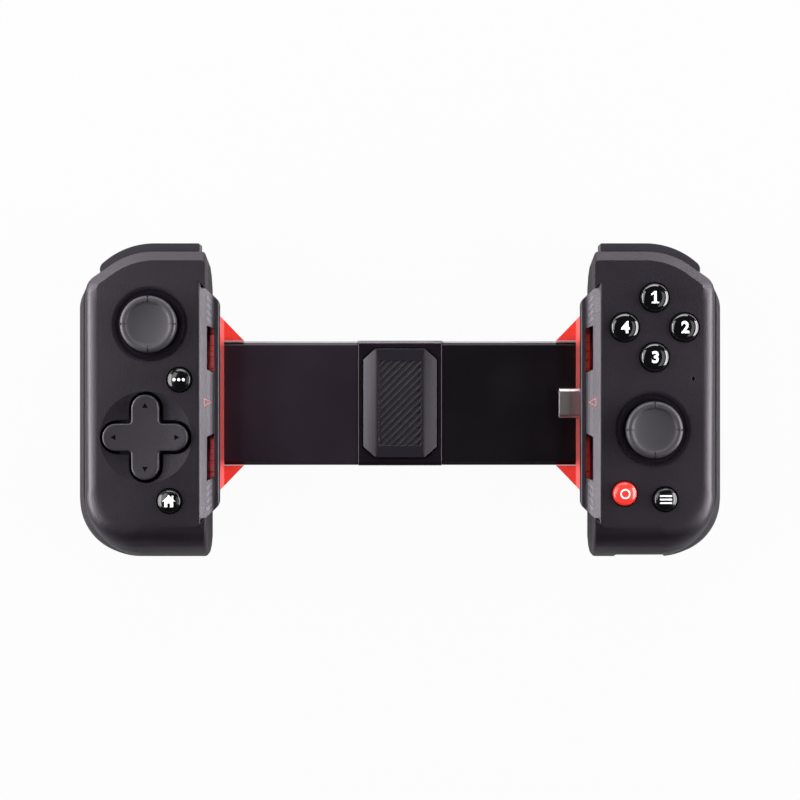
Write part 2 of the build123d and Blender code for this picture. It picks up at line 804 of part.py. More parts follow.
def grip_pad():
    base_z = sleeve_front_z + cover_rise
    top_z = base_z + pad_z
    pad = plan_prism(pad_outline(pad_w, pad_h, pad_cut_x, pad_cut_y), 0, base_z - pad_seat, top_z)
    half_w = pad_w / 2
    half_flat = pad_flat_w / 2
    roof = end_prism(
        [(-half_w, base_z - pad_seat), (-half_w, base_z + pad_rim_z), (-half_flat, top_z),
         (half_flat, top_z), (half_w, base_z + pad_rim_z), (half_w, base_z - pad_seat)],
        0, clamp_y - pad_h, clamp_y + pad_h)
    return (pad & roof) - pad_grooves(top_z)


def pad_grooves(top_z):
    """One plain panel of parallel grip grooves."""
    panel_w, panel_h = groove_panel
    panel = block(-panel_w / 2, panel_w / 2, clamp_y - panel_h / 2, clamp_y + panel_h / 2,
                  top_z - groove_depth, top_z + groove_depth)
    count = int((panel_h + panel_w) / groove_pitch / 2)
    grooves = Part()
    for index in range(-count, count + 1):
        bar = Box(panel_w + panel_h, groove_w, 2 * groove_depth)
        grooves += Pos(0, clamp_y + index * groove_pitch, top_z) * Rot(0, 0, 45) * bar
    return grooves & panel


# Rack and pinion

def involute_flank(radius, base_r):
    angle = math.acos(base_r / radius)
    return math.tan(angle) - angle


def sync_pinion():
    base_r = pitch_r * math.cos(math.radians(pressure_angle))
    tip_r = pitch_r + module * pinion_addendum
    root_r = pitch_r - module * rack_addendum - root_gap
    half_tooth = math.pi / 2 / pinion_teeth - backlash / 2 / pitch_r
    at_pitch = involute_flank(pitch_r, base_r)
    flank_shares = (0, 0.4, 0.7, 1)
    points = []
    for tooth in range(pinion_teeth):
        centre = math.pi / 2 + tooth * 2 * math.pi / pinion_teeth
        rise = []
        for share in flank_shares:
            radius = base_r + (tip_r - base_r) * share
            rise.append((radius, half_tooth + at_pitch - involute_flank(radius, base_r)))
        root_angle = rise[0][1]
        right = [(root_r, root_angle)] + rise
        for radius, angle in right:
            points.append((radius * math.cos(centre - angle), clamp_y + radius * math.sin(centre - angle)))
        for radius, angle in reversed(right):
            points.append((radius * math.cos(centre + angle), clamp_y + radius * math.sin(centre + angle)))
    face = Pos(0, 0, gear_z) * make_face(Polyline(*points, close=True))
    gear = extrude(face, amount=gear_t, dir=(0, 0, 1))
    return gear - drum(pinion_post_r + pinion_bore_gap, (0, clamp_y), gear_z - overrun, gear_z + overrun)


def right_rack():
    """The +X half's rack, on the lower side of the pinion, toothed where the pinion can reach."""
    pitch = math.pi * module
    lean = math.tan(math.radians(pressure_angle))
    tip = module * rack_addendum
    root = module * pinion_addendum + root_gap
    half_tooth = pitch / 4 - backlash / 2
    pitch_y = clamp_y - pitch_r
    start_x = -stroke - rack_teeth_past - pitch
    points = [(start_x, pitch_y - root)]
    count = int((stroke + 2 * rack_teeth_past) / pitch) + 1
    for index in range(count):
        centre = -stroke - rack_teeth_past - (-stroke - rack_teeth_past) % pitch + pitch * (index + 0.5)
        points.append((centre - half_tooth - lean * root, pitch_y - root))
        points.append((centre - half_tooth + lean * tip, pitch_y + tip))
        points.append((centre + half_tooth - lean * tip, pitch_y + tip))
        points.append((centre + half_tooth + lean * root, pitch_y - root))
    end_x = sleeve_end_x - sleeve_end_block
    points.append((end_x, pitch_y - root))
    points.append((end_x, pitch_y - root - rack_back))
    points.append((start_x, pitch_y - root - rack_back))
    face = Pos(0, 0, gear_z) * make_face(Polyline(*points, close=True))
    return extrude(face, amount=gear_t, dir=(0, 0, 1))


def half_turn(shape):
    return Pos(0, clamp_y, 0) * Rot(0, 0, 180) * Pos(0, -clamp_y, 0) * shape


# Springs and flat cable

def right_spring():
    start_x = spring_anchor_x
    length = sleeve_end_x - sleeve_end_block - start_x
    pitch = length / spring_turns
    y = clamp_y - spring_y
    z = (slide_back_z + slide_front_z) / 2
    path = Helix(pitch=pitch, height=length, radius=spring_r)
    start = path @ 0
    section = Plane(origin=start, z_dir=path % 0) * RegularPolygon(spring_wire / 2, 4)
    coil = sweep(section, path=path)
    return Pos(start_x, y, z) * Rot(0, 90, 0) * coil


def flex_ribbon():
    z = gear_z + gear_t + ribbon_step
    end_x = sleeve_end_x - sleeve_end_block
    levels = [(-end_x, ribbon_fold_x), (ribbon_fold_x, -ribbon_fold_x), (-ribbon_fold_x, end_x)]
    strip = None
    for index, (x0, x1) in enumerate(levels):
        level_z = z + index * ribbon_step
        piece = block(min(x0, x1), max(x0, x1), clamp_y - ribbon_w / 2, clamp_y + ribbon_w / 2,
                      level_z, level_z + ribbon_t)
        strip = piece if strip is None else strip + piece
    for index, x in enumerate((ribbon_fold_x, -ribbon_fold_x)):
        low_z = z + index * ribbon_step
        sign = 1 if x > 0 else -1
        strip = strip + block(min(x, x + sign * ribbon_t), max(x, x + sign * ribbon_t),
                              clamp_y - ribbon_w / 2, clamp_y + ribbon_w / 2,
                              low_z, low_z + ribbon_step + ribbon_t)
    return strip


# Circuit board, button membrane and screws

def board_face():
    low_y = bottom_y + bottom_wall + board_gap
    high_y = trigger_pocket_y - trigger_wall - board_gap
    right_x = face_outer_x - board_gap
    return [(carrier_end_x, low_y), (right_x, low_y), (right_x, high_y), (carrier_end_x, high_y)]


def circuit_board(side):
    board = plan_prism(board_face(), back_cavity_radii, board_z, board_top_z)
    for place in screw_places:
        board = board - drum(screw_r, place, 0, face_z)
    if side == "left":
        board = board - drum(dpad_post_r + dpad_post_gap, dpad_place, 0, face_z)
    return board


def membrane_strip(start, end):
    half = membrane_pad_r / 2
    return block(min(start[0], end[0]) - half, max(start[0], end[0]) + half,
                 min(start[1], end[1]) - half, max(start[1], end[1]) + half, board_top_z, membrane_z)


def membrane_strips(side):
    if side == "left":
        home_x = home_place[0]
        return [
            membrane_strip(home_place, (home_x, dots_place[1])),
            membrane_strip(dots_place, (home_x, dots_place[1])),
        ]
    places = face_button_places()
    red_x = red_place[0]
    return [
        membrane_strip(menu_place, (red_x, menu_place[1])),
        membrane_strip((red_x, menu_place[1]), places["face_button_left"]),
        membrane_strip(places["face_button_left"], places["face_button_right"]),
        membrane_strip(places["face_button_bottom"], places["face_button_top"]),
    ]


def button_membrane(side):
    sheet = Part() + membrane_strips(side)
    for place, radius in buttons[side].values():
        sheet = sheet + drum(membrane_pad_r, place, board_top_z, membrane_z)
        sheet = sheet + drum(membrane_dome_r, place, membrane_z, membrane_z + membrane_dome_h)
    if side == "left":
        sheet = sheet + drum(dpad_disc_r, dpad_place, board_top_z, membrane_z)
        for angle in range(0, 360, 90):
            x = dpad_place[0] + dpad_dome_reach * math.cos(math.radians(angle))
            y = dpad_place[1] + dpad_dome_reach * math.sin(math.radians(angle))
            sheet = sheet + drum(dpad_post_r, (x, y), membrane_z, dpad_disc_z - dpad_dome_gap)
        sheet = sheet - drum(dpad_post_r + dpad_post_gap, dpad_place, 0, face_z)
    return sheet


def screws():
    group = []
    for place in screw_places:
        head = drum(screw_head_r, place, screw_sink, screw_sink + screw_head_h)
        cross = Pos(place[0], place[1], screw_sink) * (
            Box(screw_head_r, screw_r / 2, screw_head_h) + Box(screw_r / 2, screw_head_r, screw_head_h))
        shank = drum(screw_r, place, screw_sink + screw_head_h, screw_reach_z)
        group.append(head + shank - cross)
    return Compound(children=group)


# Thumbstick: a frame on the board, a ring that tilts left and right, a rocker that tilts up and down,
# and a shaft that slides through it

def stick_base(place):
    x, y = place
    z = stick_pivot_z
    half = gimbal_side / 2
    room = half - gimbal_wall
    top = z + gimbal_rim
    base = block(x - half, x + half, y - half, y + half, board_top_z, top)
    base = base - block(x - room, x + room, y - room, y + room, board_top_z + gimbal_base, top + overrun)
    return base - rod_y(ring_pin_r + pin_gap, x, y - half, y + half, z)


def stick_ring(place):
    x, y = place
    z = stick_pivot_z
    half = ring_side / 2
    room = half - ring_wall
    ring = block(x - half, x + half, y - half, y + half, z - ring_t / 2, z + ring_t / 2)
    ring = ring - block(x - room, x + room, y - room, y + room, z - ring_t, z + ring_t)
    pins = rod_y(ring_pin_r, x, y - gimbal_side / 2, y + gimbal_side / 2, z)
    ring = ring + (pins - block(x - half, x + half, y - room, y + room, z - ring_t, z + ring_t))
    return ring - rod_x(rocker_pin_r + pin_gap, x - half, x + half, y, z)


def stick_rocker(place):
    x, y = place
    z = stick_pivot_z
    half = rocker_side / 2
    rocker = block(x - half, x + half, y - half, y + half, z - rocker_t / 2, z + rocker_t / 2)
    rocker = rocker + rod_x(rocker_pin_r, x - ring_side / 2, x + ring_side / 2, y, z)
    return rocker - drum(shaft_r + pin_gap, place, z - rocker_t, z + rocker_t)


def stick_cap(place):
    x, y = place
    z = stick_pivot_z
    shell_profile = [
        (0, stick_cap_z), (stick_cap_r - stick_dish_depth, stick_cap_z),
        (stick_cap_r, stick_cap_z + stick_dish_depth),
        (stick_cap_r, stick_cap_z + stick_cap_h - stick_dish_depth),
        (stick_cap_r - stick_dish_depth, stick_cap_z + stick_cap_h),
        (stick_dish_r + stick_notch_depth, stick_cap_z + stick_cap_h),
        (stick_dish_r, stick_cap_z + stick_cap_h - stick_notch_depth),
        (0, stick_cap_z + stick_cap_h - stick_notch_depth - stick_dish_depth),
    ]
    profile = Plane.XZ * make_face(Polyline(*shell_profile, close=True))
    cap = Pos(x, y, 0) * revolve(profile, axis=Axis.Z)
    for angle in (0, 90):
        cap = cap - Pos(x, y, stick_cap_z + stick_cap_h) * Rot(0, 0, angle) * (
            Box(2 * stick_cap_r, stick_notch_w, 2 * stick_notch_depth)
            - Box(2 * stick_dish_r, 2 * stick_notch_w, 3 * stick_notch_depth))
    neck = drum(stick_neck_r, place, z + stick_dome_r - stick_dome_t, stick_cap_z)
    shaft = drum(shaft_r, place, z - shaft_low, z + stick_dome_r)
    dome = Pos(x, y, z) * (Sphere(stick_dome_r) - Sphere(stick_dome_r - stick_dome_t))
    dome = dome & block(x - overrun, x + overrun, y - overrun, y + overrun,
                        z + stick_dome_low, face_z + overrun)
    return cap + neck + shaft + dome


# Buttons and cross pad

def button(place, radius):
    x, y = place
    top_z = face_z + button_rise
    flange_top = cavity_top_z - button_flange_gap
    ball_r = (radius ** 2 + button_dome ** 2) / 2 / button_dome
    body = drum(radius, place, flange_top - button_flange_t, top_z)
    body = body & Pos(x, y, top_z - ball_r) * Sphere(ball_r)
    flange = drum(radius + button_flange, place, flange_top - button_flange_t, flange_top)
    plunger = drum(button_plunger_r, place, plunger_z, flange_top - button_flange_t)
    return body + flange + plunger


def dpad_cross():
    x, y = dpad_place
    top_z = face_z + dpad_rise
    cross = extrude(Pos(x, y, dpad_flange_z) * cross_face(dpad_arm_w, dpad_span),
                    amount=top_z - dpad_flange_z, dir=(0, 0, 1))
    ball_r = ((dpad_span / 2) ** 2 + dpad_crown ** 2) / 2 / dpad_crown
    hollow = Pos(x, y, top_z - dpad_crown + ball_r) * Sphere(ball_r)
    cross = cross - hollow
    flange = drum(dpad_flange_r, dpad_place, dpad_flange_z, dpad_flange_z + dpad_flange_t)
    return cross + flange


def dpad_rocker():
    x, y = dpad_place
    disc_top = dpad_disc_z + dpad_disc_t
    disc = drum(dpad_disc_r, dpad_place, dpad_disc_z, disc_top)
    half = dpad_ridge_length / 2
    ridge = block(x - dpad_ridge / 2, x + dpad_ridge / 2, y - half, y + half, disc_top, disc_top + dpad_ridge)
    dimple = Pos(x, y, dpad_disc_z - dpad_post_r) * Sphere(dpad_post_r + dpad_post_gap)
    return disc + ridge - dimple


def bumper():
    plan = plan_prism(bumper_plan(), [bumper_edge, bumper_corner_radius, bumper_edge, bumper_edge,
                                      bumper_corner_radius - bumper_depth, 0, bumper_edge, bumper_edge],
                      bumper_low_z, bumper_top_z)
    return plan - drum(bumper_pin_r + pin_gap, bumper_pivot, 0, face_z)


def trigger():
    pin_y, pin_z = trigger_pivot
    points = [
        (pin_y, pin_z + trigger_boss_r), (trigger_outer_y, trigger_top_z), trigger_waist,
        (trigger_outer_y, trigger_low_z),
        (trigger_outer_y - trigger_lip[0], trigger_low_z - trigger_lip[1]),
        trigger_heel, (pin_y, pin_z - trigger_boss_r),
    ]
    radii = [0, trigger_edge, trigger_hollow_radius, trigger_edge / 4, trigger_edge / 4, trigger_boss_r, 0]
    web = side_prism(points, radii, trigger_start_x, trigger_end_x)
    boss = rod_x(trigger_boss_r, trigger_start_x, trigger_end_x, pin_y, pin_z)
    corner, end = bumper_line(0)
    plan = plan_prism(
        [(trigger_start_x, 0), (trigger_start_x, bumper_outer_y), corner,
         (trigger_end_x, bumper_outer_y - (trigger_end_x - corner[0]) * bumper_slope), (trigger_end_x, 0)],
        0, 0, split_z)
    return ((web + boss) & plan) - rod_x(trigger_pin_r + pin_gap, 0, 2 * trigger_end_x, pin_y, pin_z)


# Writing the nodes, each as one or more solids

def keep(name, shape):
    export_step(shape, "parts/" + name + ".step")


def keep_half(side, name, shape):
    keep(side + "_" + name, mirrored(side, shape))


def mirrored(side, shape):
    return mirror(shape, about=Plane.YZ) if side == "left" else shape


keep("bridge_front_cover", bridge_front_cover())
keep("bridge_back_cover", centre_ring(0, cover_split_z))
keep("grip_pad", grip_pad())
keep("slide_tray", slide_tray())
keep("slide_cover", slide_cover())
keep("sync_pinion", sync_pinion())
keep("flex_ribbon", flex_ribbon())
keep("right_rack", right_rack())
keep("left_rack", half_turn(right_rack()))
keep("right_return_spring", right_spring())
keep("left_return_spring", half_turn(right_spring()))

for side in ("left", "right"):
    keep_half(side, "front_shell", front_shell(side))
    keep_half(side, "back_shell", back_shell(side))
    keep_half(side, "bridge_sleeve", bridge_sleeve(side))
    keep_half(side, "phone_liner", phone_liner(side))
    keep_half(side, "circuit_board", circuit_board(side))
    keep_half(side, "button_membrane", button_membrane(side))
    keep_half(side, "screws", screws())
    keep_half(side, "stick_base", stick_base(stick_place[side]))
    keep_half(side, "stick_ring", stick_ring(stick_place[side]))
    keep_half(side, "stick_rocker", stick_rocker(stick_place[side]))
    keep_half(side, "stick_cap", stick_cap(stick_place[side]))
    keep_half(side, "bumper", bumper())
    keep_half(side, "trigger", trigger())
    keep_half(side, "trigger_pin", trigger_pin_rod(trigger_pin_r, 0))
    for name, (place, radius) in buttons[side].items():
        keep(name, mirrored(side, button(place, radius)))

keep("dpad_cross", mirrored("left", dpad_cross()))
keep("dpad_rocker", mirrored("left", dpad_rocker()))
keep("usb_c_plug", usb_c_plug())
keep("plug_carrier", plug_carrier())
keep("charge_port", charge_port())
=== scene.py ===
"""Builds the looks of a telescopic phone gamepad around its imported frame."""

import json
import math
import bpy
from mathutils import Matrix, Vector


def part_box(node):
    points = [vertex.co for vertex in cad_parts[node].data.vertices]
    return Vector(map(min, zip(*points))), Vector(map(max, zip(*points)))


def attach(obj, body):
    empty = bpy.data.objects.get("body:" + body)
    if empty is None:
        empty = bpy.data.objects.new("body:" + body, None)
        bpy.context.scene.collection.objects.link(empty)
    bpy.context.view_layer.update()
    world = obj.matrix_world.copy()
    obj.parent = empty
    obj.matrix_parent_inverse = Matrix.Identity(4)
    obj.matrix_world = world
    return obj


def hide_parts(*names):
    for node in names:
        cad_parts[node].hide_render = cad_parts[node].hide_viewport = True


bl_info = {
    "name": "Telescopic phone gamepad",
    "version": (1, 0, 0),
    "blender": (4, 5, 0),
    "location": "View3D > Sidebar > Gamepad",
    "description": "Dresses the gamepad's frame with its mouldings, controls, marks and materials",
    "category": "Add Mesh",
}

import bmesh
import bpy
from bpy.props import FloatProperty, FloatVectorProperty, IntProperty, PointerProperty
from bpy.types import Operator, Panel, PropertyGroup
from mathutils import Matrix, Vector

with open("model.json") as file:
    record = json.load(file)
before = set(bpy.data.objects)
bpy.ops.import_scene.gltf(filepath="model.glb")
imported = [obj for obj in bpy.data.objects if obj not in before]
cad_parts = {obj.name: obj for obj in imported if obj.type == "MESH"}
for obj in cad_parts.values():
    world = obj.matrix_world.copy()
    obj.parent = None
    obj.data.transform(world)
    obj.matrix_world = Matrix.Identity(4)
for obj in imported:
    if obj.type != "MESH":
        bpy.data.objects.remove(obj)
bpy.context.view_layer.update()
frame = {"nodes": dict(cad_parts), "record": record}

MM = 0.001
SIGNS = {"left": -1, "right": 1}
SIDES = tuple(SIGNS)
FACE_Z = 0.0270
CLAMP_Y = -0.00095
WHITE = (1.0, 1.0, 1.0, 1.0)


# Shader nets

class Number:
    """A number socket that takes ordinary arithmetic."""

    def __init__(self, net, socket):
        self.net = net
        self.socket = socket

    def maths(self, operation, *others):
        values = [self.socket] + [getattr(other, "socket", other) for other in others]
        return self.net.maths(operation, *values)

    def __add__(self, other):
        return self.maths("ADD", other)

    def __radd__(self, other):
        return self.maths("ADD", other)

    def __sub__(self, other):
        return self.maths("SUBTRACT", other)

    def __rsub__(self, other):
        return self.net.maths("SUBTRACT", other, self.socket)

    def __mul__(self, other):
        return self.maths("MULTIPLY", other)

    def __rmul__(self, other):
        return self.maths("MULTIPLY", other)

    def __truediv__(self, other):
        return self.maths("DIVIDE", other)

    def __abs__(self):
        return self.maths("ABSOLUTE")

    def above(self, edge):
        return self.maths("GREATER_THAN", edge)

    def below(self, edge):
        return self.maths("LESS_THAN", edge)

    def clamped(self):
        return self.maths("MINIMUM", 1.0).maths("MAXIMUM", 0.0)

    def wrapped(self, period):
        return self.maths("FLOORED_MODULO", period)


class Net:
    """A node tree whose nodes all come from one method."""

    def __init__(self, tree):
        self.tree = tree
        self.tree.nodes.clear()

    def node(self, kind, settings=None, **sockets):
        made = self.tree.nodes.new(kind)
        for key, value in (settings or {}).items():
            setattr(made, key, value)
        for key, value in sockets.items():
            self.feed(made.inputs[key.replace("_", " ")], value)
        return made

    def feed(self, socket, value):
        value = getattr(value, "socket", value)
        if isinstance(value, bpy.types.NodeSocket):
            self.link(value, socket)
        else:
            socket.default_value = value

    def link(self, start, end):
        self.tree.links.new(start, end)

    def maths(self, operation, *values):
        made = self.node("ShaderNodeMath", {"operation": operation})
        for socket, value in zip(made.inputs, values):
            self.feed(socket, value)
        return Number(self, made.outputs[0])

    def blend(self, share, low, high):
        """A colour between two others."""
        made = self.node("ShaderNodeMix", {"data_type": "RGBA"})
        self.feed(made.inputs[0], share)
        self.feed(made.inputs[6], low)
        self.feed(made.inputs[7], high)
        return made.outputs[2]

    def mixed(self, share, low, high):
        """A shader between two others."""
        made = self.node("ShaderNodeMixShader", Fac=share)
        self.link(low, made.inputs[1])
        self.link(high, made.inputs[2])
        return made.outputs["Shader"]


class Finish(Net):
    """The node tree of one material."""

    def __init__(self, name):
        self.material = bpy.data.materials.new(name)
        self.material.use_nodes = True
        super().__init__(self.material.node_tree)
        self.skin = self.node("ShaderNodeBsdfPrincipled")
        self.output = self.node("ShaderNodeOutputMaterial", Surface=self.skin.outputs["BSDF"])
        self.place = self.node("ShaderNodeTexCoord").outputs["Object"]

    def noise(self, scale, detail, roughness, stretch=None):
        place = self.place
        if stretch:
            place = self.node("ShaderNodeMapping", Vector=place, Scale=stretch).outputs["Vector"]
        made = self.node("ShaderNodeTexNoise", Vector=place, Scale=scale, Detail=detail, Roughness=roughness)
        return Number(self, made.outputs["Fac"])

    def axis(self, name):
        made = self.node("ShaderNodeSeparateXYZ", Vector=self.place)
        return Number(self, made.outputs[name])

    def paint(self, **sockets):
        for key, value in sockets.items():
            self.feed(self.skin.inputs[key.replace("_", " ")], value)

    def relief(self, height, depth, soft_edge=0.0):
        """Grain of a real depth in metres, over edges softened by a real radius."""
        bump = self.node("ShaderNodeBump", Height=height, Strength=1.0, Distance=depth)
        if soft_edge:
            edge = self.node("ShaderNodeBevel", {"samples": 4}, Radius=soft_edge)
            self.link(edge.outputs["Normal"], bump.inputs["Normal"])
        self.paint(Normal=bump.outputs["Normal"])


def rgb(colour):
    return (*colour[:3], 1.0)


def scaled(colour, share):
    return (*[part * share for part in colour[:3]], 1.0)


SHEEN = (0.97, 0.90, 1.0, 1.0)
WELL_R = 10.9 * MM
WELL_FADE = 2.3 * MM
WELL_ROUGHNESS = 0.16


def moulded_plastic(name, colour, roughness, grain=2600.0, depth=0.012 * MM, edge=0.22 * MM, gloss=0.5,
                    wells=(), rim=None, rim_highlight_colour=None):
    """Spark-eroded moulded plastic: fine grain, and a shine that varies a little with handling.

    The plastic is smoother in round wells, given as centres, and painted pale on a rim, given as a rule, as a
    painted highlight.
    """
    net = Finish(name)
    grain_height = net.noise(grain, 2.0, 0.6)
    cloud = net.noise(60.0, 2.0, 0.5)
    tone = net.blend(grain_height * 0.7 + cloud * 0.3, scaled(colour, 0.5), scaled(colour, 1.5))
    # painted highlight: the rim is painted in a pale colour
    if rim:
        tone = net.blend(rim(net), tone, rgb(rim_highlight_colour))
    shine = (cloud - 0.5) * 0.12 + (grain_height - 0.5) * 0.10 + roughness
    for centre in wells:
        across, along = net.axis("X") - centre.x, net.axis("Y") - centre.y
        inside = (WELL_R - (across * across + along * along).maths("SQRT")) / WELL_FADE
        shine = shine - inside.clamped() * (roughness - WELL_ROUGHNESS)
    net.paint(Base_Color=tone, Roughness=shine, Specular_IOR_Level=gloss, Specular_Tint=SHEEN)
    net.relief(grain_height, depth, edge)
    return net.material


def polished_plastic(name, colour, roughness, coat=1.0):
    """Clear polished plastic over its colour, with faint haze."""
    net = Finish(name)
    haze = net.noise(220.0, 2.0, 0.5)
    net.paint(Base_Color=net.blend(haze, scaled(colour, 0.92), scaled(colour, 1.08)),
              Roughness=haze * 0.05 + roughness, Coat_Weight=coat, Coat_Roughness=0.03)
    net.relief(haze, 0.002 * MM)
    return net.material


RUBBER_NOISE = (3200.0, 2.0, 0.55)
RUBBER_RELIEF = (0.010 * MM, 0.18 * MM)


def soft_rubber(name, colour, roughness):
    """Fine matt rubber that is a little cloudy."""
    net = Finish(name)
    grain_height = net.noise(*RUBBER_NOISE)
    cloud = net.noise(90.0, 2.0, 0.5)
    net.paint(Base_Color=net.blend(cloud, scaled(colour, 0.88), scaled(colour, 1.12)),
              Roughness=(grain_height - 0.5) * 0.12 + (cloud - 0.5) * 0.08 + roughness,
              Specular_Tint=SHEEN)
    net.relief(grain_height, *RUBBER_RELIEF)
    return net.material


GROOVED_REACH = 5.9 * MM
GROOVE_SINK = 0.2 * MM


def grooved_rubber(name, colour, roughness, gloss, top):
    """Rubber whose grooves, in the middle of its flat top, are coloured darker."""
    net = Finish(name)
    grain_height = net.noise(*RUBBER_NOISE)
    sunk = net.axis("Z").below(top - GROOVE_SINK) * abs(net.axis("X")).below(GROOVED_REACH)
    # the grooves are darker and rougher than the top
    net.paint(Base_Color=net.blend(sunk, rgb(colour), scaled(colour, 0.06)),
              Roughness=(grain_height - 0.5) * 0.12 + sunk * 0.5 + roughness,
              Specular_IOR_Level=gloss, Specular_Tint=SHEEN)
    net.relief(grain_height, *RUBBER_RELIEF)
    return net.material


# the pads that fill the left lip's slots, painted paler and redder as painted light
SLOT_PAD_PAINTED_LIGHT = (1.0, 0.13, 0.15, 1.0)
SLOT_PAD_X = (-52.85 * MM, -49.4 * MM)
SLOT_PAD_LOW = 15.0 * MM
PAD_LINE_FIRST = 2.15 * MM
PAD_LINE_PITCH = 3.14 * MM
PAD_LINE_WIDTH = 0.2 * MM
# where the liner is painted darker as painted shade from the sleeve, and over what length the painted shade
# fades
SHADE_X = 46.5 * MM
SHADE_Y = 19.0 * MM
SHADE_Y_FADE = 3.5 * MM
SHADE_Z = 17.5 * MM
SHADE_Z_FADE = 6.0 * MM


def padded_rubber(name, colour, roughness):
    """Soft rubber: raised pads in the left slots are painted paler as painted light and crossed by thin
    lines, the foot is painted darker as painted shade.
    """
    net = Finish(name)
    grain_height = net.noise(*RUBBER_NOISE)
    x, y, z = [net.axis(axis) for axis in "XYZ"]
    pads = x.below(SLOT_PAD_X[1]) * x.above(SLOT_PAD_X[0]) * z.above(SLOT_PAD_LOW)
    lines = (y - PAD_LINE_FIRST).wrapped(PAD_LINE_PITCH).above(PAD_LINE_WIDTH)
    # painted shade on the liner's foot next to the sleeve, fading along the slot and upwards
    painted_shade = (((SHADE_Y - abs(y - CLAMP_Y)) / SHADE_Y_FADE).clamped()
              * ((SHADE_Z - z) / SHADE_Z_FADE).clamped() * abs(x).above(SHADE_X))
    # painted light: paler pads in the left slots only, their thin lines keep the liner's colour
    tone = net.blend(pads * lines, scaled(colour, 0.96), SLOT_PAD_PAINTED_LIGHT)
    tone = net.blend(painted_shade, tone, scaled(colour, 0.32))
    net.paint(Base_Color=tone, Roughness=(grain_height - 0.5) * 0.12 + painted_shade * 0.3 + roughness)
    net.relief(grain_height, *RUBBER_RELIEF)
    return net.material


def brushed_metal(name, colour, roughness, along):
    """Metal with fine lines along one axis of the object."""
    net = Finish(name)
    stretch = [1.0 if axis == along else 30.0 for axis in "XYZ"]
    lines = net.noise(140.0, 3.0, 0.6, stretch)
    net.paint(Base_Color=net.blend(lines, scaled(colour, 0.85), scaled(colour, 1.1)),
              Metallic=1.0, Roughness=lines * 0.12 + roughness)
    net.relief(lines, 0.002 * MM, 0.10 * MM)
    return net.material


TRACK_PITCH = 1.3 * MM
TRACK_GAP = 0.9 * MM
FILM_TRACK_PITCH = 0.5 * MM
FILM_TRACK_GAP = 0.3 * MM


def board_lacquer(name, colour, track_colour):
    """Lacquered circuit board with copper tracks showing faintly through."""
    net = Finish(name)
    tracks = net.axis("X").wrapped(TRACK_PITCH).above(TRACK_GAP) * net.noise(180.0, 1.0, 0.4).above(0.5)
    net.paint(Base_Color=net.blend(tracks, rgb(colour), rgb(track_colour)), Roughness=tracks * -0.08 + 0.30)
    net.relief(tracks, 0.03 * MM)
    return net.material


def amber_film(name, colour):
    """Flexible film with darker tracks along it."""
    net = Finish(name)
    tracks = net.axis("Y").wrapped(FILM_TRACK_PITCH).above(FILM_TRACK_GAP)
    net.paint(Base_Color=net.blend(tracks, rgb(colour), scaled(colour, 0.6)), Roughness=tracks * 0.1 + 0.2)
    net.relief(tracks, 0.01 * MM)
    return net.material


def printed_ink(name, colour, roughness=0.35):
    """Flat ink with a faint speckle."""
    net = Finish(name)
    speckle = net.noise(1800.0, 2.0, 0.5)
    net.paint(Base_Color=net.blend(speckle, scaled(colour, 0.94), scaled(colour, 1.0)),
              Roughness=speckle * 0.1 + roughness)
    return net.material


GROUND_COLOUR = (0.30, 0.30, 0.30, 1.0)
GROUND_GLOW = 0.96
ROOM_BELOW = (0.04, 0.04, 0.042, 1.0)
ROOM_ABOVE = (0.02, 0.02, 0.021, 1.0)


def floor_paint():
    """Ground that the camera sees as white with a faint shadow."""
    net = Finish("studio_ground")
    seen = Number(net, net.node("ShaderNodeLightPath").outputs["Is Camera Ray"])
    net.paint(Base_Color=GROUND_COLOUR, Roughness=1.0, Specular_IOR_Level=0.0)
    glow = net.node("ShaderNodeEmission", Color=WHITE, Strength=1.0)
    shader = net.mixed(seen * GROUND_GLOW, net.skin.outputs["BSDF"], glow.outputs["Emission"])
    net.feed(net.output.inputs["Surface"], shader)
    return net.material


def studio_world():
    """A dim room that the camera sees as white."""
    world = bpy.data.worlds.new("studio_world")
    world.use_nodes = True
    net = Net(world.node_tree)
    direction = net.node("ShaderNodeTexCoord").outputs["Generated"]
    height = net.node("ShaderNodeSeparateXYZ", Vector=direction).outputs["Z"]
    room = net.node("ShaderNodeBackground", Color=net.blend(height, ROOM_BELOW, ROOM_ABOVE))
    white = net.node("ShaderNodeBackground", Color=WHITE)
    seen = net.node("ShaderNodeLightPath").outputs["Is Camera Ray"]
    shader = net.mixed(seen, room.outputs["Background"], white.outputs["Background"])
    net.node("ShaderNodeOutputWorld", Surface=shader)
    return world


# Settings that a user would change

class GamepadSettings(PropertyGroup):
    shell_colour: FloatVectorProperty(
        name="Shell colour", description="Colour of the grips' mouldings", subtype="COLOR",
        size=3, min=0, max=1, default=(0.0050, 0.0034, 0.0064))
    bridge_colour: FloatVectorProperty(
        name="Bridge colour", description="Colour of the telescopic bridge", subtype="COLOR",
        size=3, min=0, max=1, default=(0.0040, 0.0022, 0.0042))
    pad_colour: FloatVectorProperty(
        name="Pad colour", description="Colour of the rubber pad and stick caps", subtype="COLOR",
        size=3, min=0, max=1, default=(0.0050, 0.0042, 0.0075))
    accent_colour: FloatVectorProperty(
        name="Accent colour", description="Colour of the liners and the red button", subtype="COLOR",
        size=3, min=0, max=1, default=(0.72, 0.036, 0.026))
    button_colour: FloatVectorProperty(
        name="Button colour", description="Colour of the round buttons", subtype="COLOR",
        size=3, min=0, max=1, default=(0.002, 0.002, 0.0025))
    mark_height: FloatProperty(
        name="Mark height", description="Height of a numeral on a face button", subtype="DISTANCE",
        unit="LENGTH", default=3.3 * MM)
    round_steps: IntProperty(
        name="Round steps", description="Sides of the turned pieces", default=96, min=24, max=192)
    lamp_level: FloatProperty(
        name="Lamp level", description="Brightness of the studio lamps", default=1.0, min=0)


def settings():
    return bpy.context.scene.gamepad_settings


# Mesh helpers

MERGE_NEAR = 0.001 * MM
FLAT_ANGLE = 0.4


